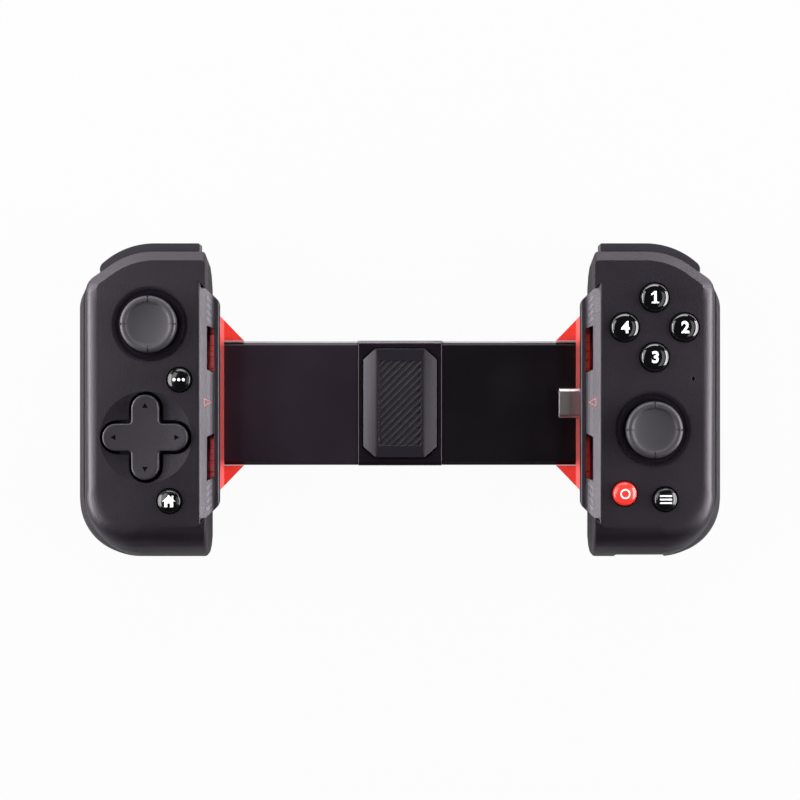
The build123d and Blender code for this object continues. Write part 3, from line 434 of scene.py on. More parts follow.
def finish_mesh(name, bm, body, material, slot, *finish):
    """Turns a bmesh into a piece that rides on a body, finished as the next function says."""
    bmesh.ops.recalc_face_normals(bm, faces=bm.faces)
    mesh = bpy.data.meshes.new(name)
    bm.to_mesh(mesh)
    bm.free()
    finish_piece(name, mesh, body, material, slot, *finish)


def finish_piece(name, mesh, body, material, slot, smooth_angle=35.0, weighted=False, replaces=(),
                 crease=None):
    """Shades a mesh smooth up to an angle, except where a crease rule says sharp or soft."""
    carried = mesh.attributes.get("custom_normal")
    if carried:
        mesh.attributes.remove(carried)
    mesh.shade_smooth()
    mesh.set_sharp_from_angle(angle=math.radians(smooth_angle))
    if crease:
        for edge in mesh.edges:
            verdict = crease(*[mesh.vertices[index].co for index in edge.vertices])
            if verdict is not None:
                edge.use_edge_sharp = verdict
    mesh.materials.clear()
    mesh.materials.append(material)
    piece = bpy.data.objects.new(name, mesh)
    bpy.context.scene.collection.objects.link(piece)
    if weighted:
        even = piece.modifiers.new("even_normals", "WEIGHTED_NORMAL")
        even.mode = "FACE_AREA"
        even.keep_sharp = True
    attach(piece, body)
    if replaces:
        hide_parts(*replaces)


def body_of_node(node):
    for body, nodes in frame["record"]["behaviour"]["bodies"].items():
        if node in nodes:
            return body
    raise ValueError(node + " rides on no body")


def slot_of_node(node):
    return next(row["material_slot"] for row in frame["record"]["subparts"] if row["node"] == node)


def merged_moulding(node, material, smooth_angle=32.0, crease=None, shape=None):
    """A merged copy of a frame node, with its flat faces whole and its curved ones smooth."""
    bm = bmesh.new()
    bm.from_mesh(frame["nodes"][node].data)
    bmesh.ops.remove_doubles(bm, verts=bm.verts, dist=MERGE_NEAR)
    bmesh.ops.dissolve_degenerate(bm, edges=bm.edges, dist=MERGE_NEAR)
    bmesh.ops.dissolve_limit(bm, angle_limit=math.radians(FLAT_ANGLE), verts=bm.verts, edges=bm.edges)
    if shape:
        shape(bm)
    bmesh.ops.triangulate(bm, faces=bm.faces)
    mesh = bpy.data.meshes.new(node + "_moulding")
    bm.to_mesh(mesh)
    bm.free()
    finish_piece(node + "_moulding", mesh, body_of_node(node), material, slot_of_node(node),
                 smooth_angle, True, (node,), crease)


def turned(profile, centre, steps):
    """A closed profile of radius and height points, spun about an upright axis."""
    bm = bmesh.new()
    points = [bm.verts.new((radius, 0, height)) for radius, height in profile]
    edges = [bm.edges.new(pair) for pair in zip(points, points[1:])]
    bmesh.ops.spin(bm, geom=points + edges, cent=(0, 0, 0), axis=(0, 0, 1), angle=math.tau, steps=steps,
                   use_merge=True)
    bmesh.ops.remove_doubles(bm, verts=bm.verts, dist=MERGE_NEAR)
    bmesh.ops.recalc_face_normals(bm, faces=bm.faces)
    bmesh.ops.translate(bm, verts=bm.verts, vec=Vector((*centre, 0)))
    return bm


def arc_points(centre, radius, start, end, count):
    """Points on an arc in a profile, by angle in degrees from the radius axis."""
    return [(centre[0] + radius * math.cos(math.radians(start + (end - start) * i / count)),
             centre[1] + radius * math.sin(math.radians(start + (end - start) * i / count)))
            for i in range(count + 1)]


def centre_of(node):
    low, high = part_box(node)
    return (low + high) / 2


def new_verts(made):
    return [item for item in made["geom"] if isinstance(item, bmesh.types.BMVert)]


def cut_across(bm, place, normal, near=0.0005 * MM, **options):
    """Cuts a whole bmesh with a plane, and returns what the cut made."""
    geom = list(bm.verts) + list(bm.edges) + list(bm.faces)
    return bmesh.ops.bisect_plane(bm, geom=geom, dist=near, plane_co=place, plane_no=normal, **options)


def rounded(bm, edges, radius, segments):
    bmesh.ops.bevel(bm, geom=edges, offset=radius, offset_type="OFFSET", segments=segments, profile=0.5,
                    affect="EDGES", material=-1)


def flat_bar(bm, x, y, width, height, turn=0.0):
    verts = bmesh.ops.create_grid(bm, x_segments=1, y_segments=1, size=0.5)["verts"]
    bmesh.ops.scale(bm, verts=verts, vec=(width, height, 1))
    bmesh.ops.rotate(bm, verts=verts, matrix=Matrix.Rotation(turn, 3, "Z"))
    bmesh.ops.translate(bm, verts=verts, vec=(x, y, 0))


def outlined(bm, width):
    """Leaves only a line along the edge of a flat patch."""
    ring = bmesh.ops.inset_region(bm, faces=bm.faces, thickness=width, use_boundary=True)
    inner = [face for face in bm.faces if face not in ring["faces"]]
    bmesh.ops.delete(bm, geom=inner, context="FACES")


RELIEF_ROUNDS = 4


def relief_over(bm, height_at, rise, sink, step=0.35 * MM):
    """Makes a flat patch a closed thin relief that follows a surface."""
    bmesh.ops.triangulate(bm, faces=bm.faces)
    for _ in range(RELIEF_ROUNDS):
        long_edges = [edge for edge in bm.edges if edge.calc_length() > step]
        if not long_edges:
            break
        bmesh.ops.subdivide_edges(bm, edges=long_edges, cuts=1)
        bmesh.ops.triangulate(bm, faces=bm.faces)
    low = list(bm.verts)
    high = new_verts(bmesh.ops.extrude_face_region(bm, geom=list(bm.faces), use_keep_orig=True))
    for verts, offset in ((low, -sink), (high, rise)):
        for vert in verts:
            vert.co.z = height_at(vert.co.x, vert.co.y) + offset
    return bm


# Grips

def shell_material():
    return moulded_plastic("grip_plastic", settings().shell_colour, 0.40, depth=0.05 * MM,
                           wells=[centre_of(side + "_stick_cap") for side in SIDES])


def back_material():
    return moulded_plastic("back_plastic", settings().shell_colour, 0.50, grain=1800.0, depth=0.02 * MM)


NEAR = 0.01 * MM
DISH_RIM_R = 12.5 * MM
DISH_RIM_NEAR = 0.02 * MM

# the stretch of a grip's side that rolls over, and how it leaves the face
ROLL_OUT_X = 81.9 * MM
ROLL_IN_X = 54.2 * MM
ROLL_OUT_Y = -33.1 * MM
ROLL_TOP_Y = 30.9 * MM
ROLL_LOW_Z = 17.2 * MM
ROLL_CORNER = (70.0 * MM, -21.2 * MM)
ROLL_CORNER_R = 12.0 * MM
ROLL_CORNER_NEAR = 0.1 * MM
ROLL_START = 2.9 * MM
ROLL_BLEND = (26.9 * MM, 30.8 * MM)

# the lip's slope, the hollow at its foot and the flange below
LIP_SLOPE_OUT = 0.0544
LIP_SLOPE_IN = 0.0514
LIP_HOLLOW = 1.05 * MM
LIP_HOLLOW_CUTS = 3
LIP_HOLLOW_NEAR = 0.05 * MM
LIP_NEAR = 0.3 * MM
MOULDED_FALL = 0.364
FLANGE_FALL = 0.15


def rolls_over(spot):
    """True on the outer side and the bottom, above the parting line and below the slanted top corner."""
    x, y = abs(spot.x), spot.y
    past_x, past_y = x - ROLL_CORNER[0], y - ROLL_CORNER[1]
    beyond_corner = (past_x > 0 and past_y < 0
                     and math.hypot(past_x, past_y) > ROLL_CORNER_R - ROLL_CORNER_NEAR)
    outside = x > ROLL_OUT_X or y < ROLL_OUT_Y or beyond_corner
    return outside and spot.z > ROLL_LOW_Z and y < ROLL_TOP_Y and x > ROLL_IN_X


def lip_height(x, y):
    """Height of the lip's slope, of the hollow at its foot and of the flange below."""
    slope = FACE_Z - max(0.0, LIP_SLOPE_OUT - max(abs(x), LIP_SLOPE_IN))
    hollow = max(0.0, LIP_HOLLOW - abs(abs(x) - LIP_SLOPE_IN))
    return (slope - FLANGE_FALL * max(0.0, LIP_SLOPE_IN - abs(x))
            + (1 - FLANGE_FALL) * hollow * hollow / (4 * LIP_HOLLOW))


def on_hollow(spot):
    return (abs(abs(spot.x) - LIP_SLOPE_IN) < LIP_HOLLOW + NEAR
            and abs(spot.z - lip_height(spot.x, spot.y)) < LIP_HOLLOW_NEAR)


def eased_front(bm):
    """Lets the outer side leave the face gently, and hollows the foot of the lip's slope."""
    start, end = ROLL_BLEND
    for y in ROLL_BLEND:
        cut_across(bm, (0, y, 0), (0, 1, 0))
    sign = 1 if sum(vert.co.x for vert in bm.verts) > 0 else -1
    for step in range(-LIP_HOLLOW_CUTS, LIP_HOLLOW_CUTS + 1):
        x = sign * (LIP_SLOPE_IN + LIP_HOLLOW * step / LIP_HOLLOW_CUTS)
        cut_across(bm, (x, 0, 0), (1, 0, 0))
    for vert in bm.verts:
        spot = vert.co
        drop, reach = FACE_Z - spot.z, abs(spot.x)
        moulded_drop = (LIP_SLOPE_OUT - max(reach, LIP_SLOPE_IN)
                        + MOULDED_FALL * max(0.0, LIP_SLOPE_IN - reach))
        if rolls_over(spot) and 0 < drop < ROLL_START:
            share = drop / ROLL_START
            eased = ROLL_START * share * share * (2 - share)
            spot.z -= (eased - drop) * min(1.0, max(0.0, (end - spot.y) / (end - start)))
        elif reach < LIP_SLOPE_IN + LIP_HOLLOW and drop < moulded_drop + LIP_NEAR:
            spot.z += lip_height(spot.x, spot.y) - (FACE_Z - moulded_drop)


class GAMEPAD_OT_housings(Operator):
    """Front and back shells of both grips"""
    bl_idname = "gamepad.housings"
    bl_label = "Housings"

    def execute(self, context):
        front = shell_material()
        back = back_material()
        pad_centre = centre_of("dpad_cross")

        def on_dish_rim(spot):
            reach = math.hypot(spot.x - pad_centre.x, spot.y - pad_centre.y)
            return spot.z > FACE_Z - NEAR and abs(reach - DISH_RIM_R) < DISH_RIM_NEAR

        def crease(a, b):
            """The cross pad's dish has a crisp rim; the outer side and the lip roll over softly."""
            if abs(a.x - b.x) < NEAR and on_hollow(a) and on_hollow(b):
                return False
            if on_dish_rim(a) and on_dish_rim(b):
                return True
            return False if rolls_over(a) and rolls_over(b) else None

        for side in SIDES:
            merged_moulding(side + "_front_shell", front, crease=crease, shape=eased_front)
            merged_moulding(side + "_back_shell", back)
        return {"FINISHED"}


HATCH_COUNT = 4
HATCH_PITCH = 1.88 * MM
HATCH_FIRST = 22.5 * MM
HATCH_LENGTH = 2.0 * MM
HATCH_WIDTH = 0.62 * MM
HATCH_X = 51.95 * MM
HATCH_TURN = 50.0
HATCH_RISE = 0.08 * MM
HATCH_SINK = 0.2 * MM
HATCH_STEP = 0.4 * MM
ARROWHEAD_R = 1.3 * MM
ARROWHEAD_LINE = 0.27 * MM
ARROWHEAD_X = 52.6 * MM
ARROWHEAD_Y = -0.7 * MM
ARROWHEAD_RISE = 0.05 * MM
ARROWHEAD_SINK = 0.1 * MM


def hatch_ribs(sign):
    """Slanted ribs on a lip, in two rows that mirror each other."""
    bm = bmesh.new()
    for end in (1, -1):
        turn = math.radians(HATCH_TURN * sign * end)
        for index in range(HATCH_COUNT):
            y = CLAMP_Y + end * (HATCH_FIRST + index * HATCH_PITCH)
            flat_bar(bm, sign * HATCH_X, y, HATCH_LENGTH, HATCH_WIDTH, turn)
    return relief_over(bm, lip_height, HATCH_RISE, HATCH_SINK, HATCH_STEP)


def arrowhead(sign):
    """A small outlined triangle that points at the phone."""
    bm = bmesh.new()
    bmesh.ops.create_circle(bm, segments=3, radius=ARROWHEAD_R, cap_ends=True)
    bmesh.ops.rotate(bm, verts=bm.verts, matrix=Matrix.Rotation(sign * math.pi / 2, 3, "Z"))
    outlined(bm, ARROWHEAD_LINE)
    bmesh.ops.translate(bm, verts=bm.verts, vec=(sign * ARROWHEAD_X, ARROWHEAD_Y, 0))
    return relief_over(bm, lip_height, ARROWHEAD_RISE, ARROWHEAD_SINK)


class GAMEPAD_OT_lip_marks(Operator):
    """Hatch ribs and the clamp's direction marks on the lips"""
    bl_idname = "gamepad.lip_marks"
    bl_label = "Lip marks"

    def execute(self, context):
        # the ribs are painted paler than the grip, a painted highlight for their lit sides
        plastic = moulded_plastic("hatch_highlight_plastic", (0.030, 0.027, 0.032), 0.38, edge=0)
        ink = printed_ink("mark_red", (0.52, 0.085, 0.080), 0.45)
        for side, sign in SIGNS.items():
            finish_mesh(side + "_lip_hatch", hatch_ribs(sign), side + "_half", plastic, "housing")
            finish_mesh(side + "_direction_mark", arrowhead(sign), side + "_half", ink, "housing")
        return {"FINISHED"}


# Controls

DISH_R = 5.85 * MM
CAP_R = 7.6 * MM
CAP_TOP = 34.2 * MM
CAP_BOTTOM = 30.5 * MM
CAP_RIM_R = 0.95 * MM
CAP_UNDER_R = 4.6 * MM
STEM_R = 3.2 * MM
STEM_LOW = 27.2 * MM
DUST_DOME_R = 9.0 * MM
DUST_DOME_INNER_R = 8.2 * MM
POST_R = 1.0 * MM
POST_TOP = 26.0 * MM
POST_LOW = 16.2 * MM
PIVOT_Z = 18.0 * MM
NOTCH_DEPTH = 0.42 * MM
NOTCH_BAND = 0.5 * MM
NOTCH_IN_R = DISH_R - 0.05 * MM
NOTCH_OUT_R = CAP_R - 0.15 * MM
# how far the dish lies below the cap's top, by radius
DISH_FALLS = (
    (0, 1.05 * MM), (2.2 * MM, 1.0 * MM), (4.0 * MM, 0.86 * MM), (5.1 * MM, 0.70 * MM),
    (DISH_R - 0.12 * MM, 0.58 * MM), (DISH_R, 0.50 * MM), (DISH_R + 0.08 * MM, 0.12 * MM),
    (DISH_R + 0.25 * MM, 0),
)


def stick_profile():
    """Dish, rim and underside of the cap, its stem, the dust dome and the post inside."""
    points = [(radius, CAP_TOP - fall) for radius, fall in DISH_FALLS]
    points += arc_points((CAP_R - CAP_RIM_R, CAP_TOP - CAP_RIM_R), CAP_RIM_R, 80, 0, 8)
    points += [(CAP_R, CAP_BOTTOM + 0.9 * MM), (CAP_R - 0.25 * MM, CAP_BOTTOM + 0.3 * MM),
               (CAP_R - 0.9 * MM, CAP_BOTTOM), (CAP_UNDER_R, CAP_BOTTOM), (3.5 * MM, CAP_BOTTOM - 0.4 * MM),
               (STEM_R, CAP_BOTTOM - 1.2 * MM), (STEM_R, STEM_LOW), (3.6 * MM, 26.4 * MM)]
    points += arc_points((0, PIVOT_Z), DUST_DOME_R, 64, 21, 14)
    points += arc_points((0, PIVOT_Z), DUST_DOME_INNER_R, 23, 82, 14)
    points += [(POST_R, POST_TOP), (POST_R, POST_LOW), (0, POST_LOW)]
    return points


class GAMEPAD_OT_sticks(Operator):
    """Thumbstick caps with their dish, rim, notches and dust dome"""
    bl_idname = "gamepad.sticks"
    bl_label = "Thumbsticks"

    def execute(self, context):
        rubber = soft_rubber("stick_rubber", (0.028, 0.026, 0.031), 0.45)
        steps = settings().round_steps
        for side in SIDES:
            centre = centre_of(side + "_stick_cap")
            bm = turned(stick_profile(), (centre.x, centre.y), steps)
            bmesh.ops.rotate(bm, verts=bm.verts, cent=(centre.x, centre.y, 0),
                             matrix=Matrix.Rotation(math.pi / steps, 3, "Z"))
            grooved = []
            for face in bm.faces:
                spot = face.calc_center_median() - Vector((centre.x, centre.y, 0))
                radius = math.hypot(spot.x, spot.y)
                turn = math.degrees(math.atan2(spot.y, spot.x)) % 90
                on_rim = spot.z > CAP_TOP - NOTCH_BAND and NOTCH_IN_R < radius < NOTCH_OUT_R
                if on_rim and min(turn, 90 - turn) < 360 / steps / 2:
                    grooved.append(face)
            sunk = new_verts(bmesh.ops.extrude_face_region(bm, geom=grooved))
            bmesh.ops.delete(bm, geom=grooved, context="FACES")
            bmesh.ops.translate(bm, verts=sunk, vec=(0, 0, -NOTCH_DEPTH))
            finish_mesh(side + "_stick_top", bm, side + "_stick_cap", rubber, "stick_rubber", 40.0, False,
                        (side + "_stick_cap",))
        return {"FINISHED"}


FACE_BUTTON_R = 3.85 * MM
SMALL_BUTTON_R = 3.25 * MM
BUTTON_TOP = FACE_Z + 1.9 * MM
BUTTON_EDGE = 0.45 * MM
CROWN_STEPS = 24
FACE_CROWN = (0.70 * MM, 4.0)
SMALL_CROWN = (0.80 * MM, 2.6)
BUTTON_SIDE = 0.4 * MM
BUTTON_FLANGE = 0.75 * MM
BUTTON_FLANGE_TOP = 24.6 * MM
BUTTON_FLANGE_LOW = 23.4 * MM
BUTTON_STEM_R = 2.0 * MM


def crown_of(radius):
    """How far a button's crown falls towards its rim, and by which power."""
    return FACE_CROWN if radius == FACE_BUTTON_R else SMALL_CROWN


def dome_height(centre, radius):
    fall, power = crown_of(radius)

    def height(x, y):
        reach = min(math.hypot(x - centre.x, y - centre.y), radius)
        return BUTTON_TOP - fall * (reach / radius) ** power
    return height


def button_profile(radius, low_z):
    """Crown, rounded edge, side, flange and stem of a round button."""
    fall, power = crown_of(radius)
    reach = radius - BUTTON_EDGE
    points = [(reach * step / CROWN_STEPS,
               BUTTON_TOP - fall * (reach / radius * step / CROWN_STEPS) ** power)
              for step in range(CROWN_STEPS + 1)]
    lean = math.degrees(math.atan(fall * power / radius * (reach / radius) ** (power - 1)))
    middle = (reach - BUTTON_EDGE * math.sin(math.radians(lean)),
              points[-1][1] - BUTTON_EDGE * math.cos(math.radians(lean)))
    points += arc_points(middle, BUTTON_EDGE, 82 - lean, 0, 6)
    flange = radius + BUTTON_FLANGE
    points += [(radius, middle[1] - BUTTON_SIDE), (radius, BUTTON_FLANGE_TOP), (flange, BUTTON_FLANGE_TOP),
               (flange, BUTTON_FLANGE_LOW), (BUTTON_STEM_R, BUTTON_FLANGE_LOW), (BUTTON_STEM_R, low_z),
               (0, low_z)]
    return points


ROUND_BUTTONS = {
    "dots_button": SMALL_BUTTON_R, "home_button": SMALL_BUTTON_R, "red_button": SMALL_BUTTON_R,
    "menu_button": SMALL_BUTTON_R, "face_button_top": FACE_BUTTON_R, "face_button_left": FACE_BUTTON_R,
    "face_button_right": FACE_BUTTON_R, "face_button_bottom": FACE_BUTTON_R,
}


class GAMEPAD_OT_round_buttons(Operator):
    """Domed round buttons"""
    bl_idname = "gamepad.round_buttons"
    bl_label = "Round buttons"

    def execute(self, context):
        clear = polished_plastic("button_black", settings().button_colour, 0.03)
        satin = polished_plastic("button_satin", settings().button_colour, 0.14, 0.3)
        red = polished_plastic("button_red", settings().accent_colour, 0.12, 0.5)
        for node, radius in ROUND_BUTTONS.items():
            low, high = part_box(node)
            centre = (low + high) / 2
            bm = turned(button_profile(radius, low.z), (centre.x, centre.y), settings().round_steps)
            look = red if node == "red_button" else clear if radius == FACE_BUTTON_R else satin
            finish_mesh(node + "_dome", bm, node, look, slot_of_node(node), 50.0, False, (node,))
        return {"FINISHED"}


NUMERAL_WEIGHT = 0.032
NUMERAL_NEAR = 0.0005
# foot and flag of the 1, in shares of its height: place, width, thickness and turn in degrees
ONE_BARS = ((0.0, -0.44, 0.62, 0.13, 0.0), (-0.19, 0.31, 0.34, 0.14, 40.0))


def numeral(text, height, centre):
    """A numeral as a flat patch, scaled and centred."""
    curve = bpy.data.curves.new("numeral", "FONT")
    curve.body = text
    curve.size = 1.0
    curve.offset = NUMERAL_WEIGHT
    curve.resolution_u = 4
    holder = bpy.data.objects.new("numeral", curve)
    mesh = bpy.data.meshes.new_from_object(holder)
    bm = bmesh.new()
    bm.from_mesh(mesh)
    bpy.data.objects.remove(holder)
    bpy.data.curves.remove(curve)
    bpy.data.meshes.remove(mesh)
    bmesh.ops.remove_doubles(bm, verts=bm.verts, dist=NUMERAL_NEAR)
    xs = [vert.co.x for vert in bm.verts]
    ys = [vert.co.y for vert in bm.verts]
    share = height / (max(ys) - min(ys))
    middle = Vector(((max(xs) + min(xs)) / 2, (max(ys) + min(ys)) / 2, 0))
    bmesh.ops.translate(bm, verts=bm.verts, vec=-middle)
    bmesh.ops.scale(bm, verts=bm.verts, vec=(share, share, share))
    if text == "1":
        for x, y, width, thickness, turn in ONE_BARS:
            flat_bar(bm, height * x, height * y, height * width, height * thickness, math.radians(turn))
    bmesh.ops.translate(bm, verts=bm.verts, vec=(centre.x, centre.y, 0))
    return bm


DOT_R = 0.42 * MM
DOT_PITCH = 1.25 * MM
BAR_LENGTH = 3.3 * MM
BAR_WIDTH = 0.42 * MM
BAR_PITCH = 0.95 * MM
RING_R = 1.35 * MM
RING_LINE = 0.38 * MM
ROOF_SCALE = (2.05 * MM, 1.15 * MM, 1)
ROOF_Y = 0.55 * MM
# the two walls, the lintel and the chimney: place, width and height
HOUSE_BARS = (
    (-0.78 * MM, -0.85 * MM, 0.85 * MM, 1.5 * MM), (0.78 * MM, -0.85 * MM, 0.85 * MM, 1.5 * MM),
    (0.0, -0.32 * MM, 0.8 * MM, 0.44 * MM), (1.02 * MM, 1.0 * MM, 0.42 * MM, 1.0 * MM),
)


def dots_patch(centre):
    bm = bmesh.new()
    for step in (-1, 0, 1):
        bmesh.ops.create_circle(bm, segments=24, radius=DOT_R, cap_ends=True,
                                matrix=Matrix.Translation((centre.x + step * DOT_PITCH, centre.y, 0)))
    return bm


def bars_patch(centre):
    bm = bmesh.new()
    for step in (-1, 0, 1):
        flat_bar(bm, centre.x, centre.y + step * BAR_PITCH, BAR_LENGTH, BAR_WIDTH)
    return bm


def house_patch(centre):
    """Roof, walls with a doorway, and a chimney."""
    bm = bmesh.new()
    roof = bmesh.ops.create_circle(bm, segments=3, radius=1.0, cap_ends=True)["verts"]
    bmesh.ops.scale(bm, verts=roof, vec=ROOF_SCALE)
    bmesh.ops.translate(bm, verts=roof, vec=(centre.x, centre.y + ROOF_Y, 0))
    for x, y, width, height in HOUSE_BARS:
        flat_bar(bm, centre.x + x, centre.y + y, width, height)
    return bm


def ring_patch(centre):
    bm = bmesh.new()
    bmesh.ops.create_circle(bm, segments=48, radius=RING_R, cap_ends=True,
                            matrix=Matrix.Translation((centre.x, centre.y, 0)))
    outlined(bm, RING_LINE)
    return bm


MARK_RISE = 0.03 * MM
MARK_SINK = 0.08 * MM


class GAMEPAD_OT_button_marks(Operator):
    """Plain numerals and pictograms on the round buttons"""
    bl_idname = "gamepad.button_marks"
    bl_label = "Button marks"

    def execute(self, context):
        ink = printed_ink("mark_white", (0.86, 0.87, 0.88))
        patches = {"dots_button": dots_patch, "home_button": house_patch, "menu_button": bars_patch,
                   "red_button": ring_patch}
        numbers = {"face_button_top": "1", "face_button_right": "2", "face_button_bottom": "3",
                   "face_button_left": "4"}
        for node, radius in ROUND_BUTTONS.items():
            centre = centre_of(node)
            if node in numbers:
                bm = numeral(numbers[node], settings().mark_height, centre)
            else:
                bm = patches[node](centre)
            relief_over(bm, dome_height(centre, radius), MARK_RISE, MARK_SINK)
            finish_mesh(node + "_mark", bm, node, ink, slot_of_node(node))
        return {"FINISHED"}


CROSS_ARM = 7.4 * MM
CROSS_SPAN = 23.0 * MM
CROSS_TOP = FACE_Z + 2.4 * MM
CROSS_CROWN = 0.6 * MM
CROSS_TIP_R = CROSS_ARM / 2 * 0.998
CROSS_NOOK_R = 0.9 * MM
CROSS_RIM_R = 0.40 * MM
CROSS_CUT_PITCH = 1.07 * MM
CROSS_CUTS = 10
ARROW_R = 0.9 * MM
ARROW_REACH = 8.4 * MM
ARROW_RISE = 0.015 * MM
ARROW_SINK = 0.1 * MM


def crown_fall(x, y):
    """How far the cross pad's dished top lies below its tips."""
    return CROSS_CROWN * max(0.0, 1 - (math.hypot(x, y) / (CROSS_SPAN / 2)) ** 2)


def upright_edges(bm, height):
    return [edge for edge in bm.edges if abs(edge.verts[0].co.z - edge.verts[1].co.z) > height / 2]


def cross_solid(height):
    """A cross with round tips, soft nooks, a rounded rim and a dished top."""
    bm = bmesh.new()
    bmesh.ops.create_grid(bm, x_segments=3, y_segments=3, size=0.5)
    for vert in bm.verts:
        for axis in (0, 1):
            share = vert.co[axis] * 3
            vert.co[axis] = math.copysign((CROSS_SPAN if abs(share) > 1 else CROSS_ARM) / 2, share)
    corners = [face for face in bm.faces
               if min(abs(face.calc_center_median().x), abs(face.calc_center_median().y)) > CROSS_ARM / 4]
    bmesh.ops.delete(bm, geom=corners, context="FACES")
    bmesh.ops.dissolve_faces(bm, faces=bm.faces)
    raised = new_verts(bmesh.ops.extrude_face_region(bm, geom=list(bm.faces), use_keep_orig=True))
    bmesh.ops.translate(bm, verts=raised, vec=(0, 0, height))
    tips = [edge for edge in upright_edges(bm, height)
            if max(abs(edge.verts[0].co.x), abs(edge.verts[0].co.y)) > CROSS_ARM]
    rounded(bm, tips, CROSS_TIP_R, 12)
    nooks = [edge for edge in upright_edges(bm, height)
             if abs(abs(edge.verts[0].co.x) - abs(edge.verts[0].co.y)) < NEAR
             and abs(edge.verts[0].co.x) < CROSS_ARM / 2 * 1.01]
    rounded(bm, nooks, CROSS_NOOK_R, 5)
    rim = [edge for edge in bm.edges
           if min(vert.co.z for vert in edge.verts) > height * 0.99 and len(edge.link_faces) == 2]
    rounded(bm, rim, CROSS_RIM_R, 4)
    for normal in ((1, 0, 0), (0, 1, 0)):
        for index in range(-CROSS_CUTS, CROSS_CUTS + 1):
            cut_across(bm, Vector(normal) * (index * CROSS_CUT_PITCH), normal, near=0.0)
    for vert in bm.verts:
        if vert.co.z > height / 2:
            vert.co.z -= crown_fall(vert.co.x, vert.co.y)
    bmesh.ops.triangulate(bm, faces=bm.faces)
    return bm


def cross_arrows(centre):
    """Four small triangles that lie on the cross pad's arms."""
    bm = bmesh.new()
    for index in range(4):
        verts = bmesh.ops.create_circle(bm, segments=3, radius=ARROW_R, cap_ends=True)["verts"]
        bmesh.ops.translate(bm, verts=verts, vec=(0, ARROW_REACH, 0))
        bmesh.ops.rotate(bm, verts=verts, matrix=Matrix.Rotation(index * math.pi / 2, 3, "Z"))
    bmesh.ops.translate(bm, verts=bm.verts, vec=(centre.x, centre.y, 0))

    def top(x, y):
        return CROSS_TOP - crown_fall(x - centre.x, y - centre.y)
    return relief_over(bm, top, ARROW_RISE, ARROW_SINK)


class GAMEPAD_OT_cross_pad(Operator):
    """Cross pad with its dished top and four dark arrows"""
    bl_idname = "gamepad.cross_pad"
    bl_label = "Cross pad"

    def execute(self, context):
        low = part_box("dpad_cross")[0]
        centre = centre_of("dpad_cross")
        plastic = moulded_plastic("cross_plastic", (0.0165, 0.0145, 0.0180), 0.38, depth=0.02 * MM, edge=0)
        dark = moulded_plastic("arrow_recess", scaled(settings().shell_colour, 0.1), 0.9, edge=0, gloss=0.05)
        bm = cross_solid(CROSS_TOP - low.z)
        bmesh.ops.translate(bm, verts=bm.verts, vec=(centre.x, centre.y, low.z))
        finish_mesh("cross_pad_top", bm, "dpad_cross", plastic, "cross_plastic", 40.0, True, ("dpad_cross",))
        finish_mesh("cross_pad_arrows", cross_arrows(centre), "dpad_cross", dark, "cross_plastic")
        return {"FINISHED"}


BUMPER_END_REACH = 1.6 * MM
BUMPER_END_DRAW = (0.75, 1.1)


def rounded_end(bm):
    """Draws the bumper's outermost corner in towards the housing, by a vector in millimetres."""
    tip = max((vert.co for vert in bm.verts), key=lambda spot: abs(spot.x)).copy()
    outward = 1 if tip.x > 0 else -1
    inward, down = BUMPER_END_DRAW
    for vert in bm.verts:
        near = 1 - math.hypot(vert.co.x - tip.x, vert.co.y - tip.y) / BUMPER_END_REACH
        if near > 0:
            vert.co += Vector((-outward * inward, -down, 0)) * MM * near * near


class GAMEPAD_OT_shoulder_keys(Operator):
    """Bumpers and triggers"""
    bl_idname = "gamepad.shoulder_keys"
    bl_label = "Bumpers and triggers"

    def execute(self, context):
        bumper = moulded_plastic("bumper_plastic", (0.020, 0.018, 0.023), 0.32, depth=0.004 * MM,
                                 edge=0.3 * MM)
        trigger = moulded_plastic("trigger_plastic", (0.024, 0.022, 0.026), 0.40, depth=0.010 * MM,
                                  edge=0.3 * MM)
        for side in SIDES:
            merged_moulding(side + "_bumper", bumper, 25.0, shape=rounded_end)
            merged_moulding(side + "_trigger", trigger, 25.0)
        return {"FINISHED"}


# Bridge

SLEEVE_TOP = 10.0 * MM
SLEEVE_ENDS = ((1, 16.3 * MM), (-1, -18.2 * MM))
SLEEVE_EDGE = 1.1 * MM
# the sleeves' top rim is painted pale, a painted highlight along their front edge
SLEEVE_RIM_Y = 15.85 * MM
SLEEVE_RIM_DEPTH = 1.15 * MM
SLEEVE_RIM_HIGHLIGHT = (0.26, 0.25, 0.27)
# how each sleeve's tone stands to the bridge's colour, the left painted lighter and the right darker as
# painted light and shade, and its gloss
SLEEVE_PAINTED_LIGHT_AND_GLOSS = (("left", 2.4, 0.5), ("right", 0.4, 0.33))
# the cover's side seams and top rim are painted pale, a painted highlight
COVER_SEAM = 0.16 * MM
COVER_EDGE = 0.7 * MM
COVER_RIM_DEPTH = 0.9 * MM
COVER_RIM_HIGHLIGHT = (0.11, 0.10, 0.115)


def flat_chamfer(bm):
    """Draws the sleeve's rounded front edges straight, so that they catch light as one band."""
    for vert in bm.verts:
        for sign, edge_y in SLEEVE_ENDS:
            aside = sign * (vert.co.y - edge_y)
            above = vert.co.z - SLEEVE_TOP
            excess = aside + above + SLEEVE_EDGE
            if min(aside, above) > -SLEEVE_EDGE * 1.01 and excess > 0:
                vert.co.y -= sign * excess / 2
                vert.co.z -= excess / 2


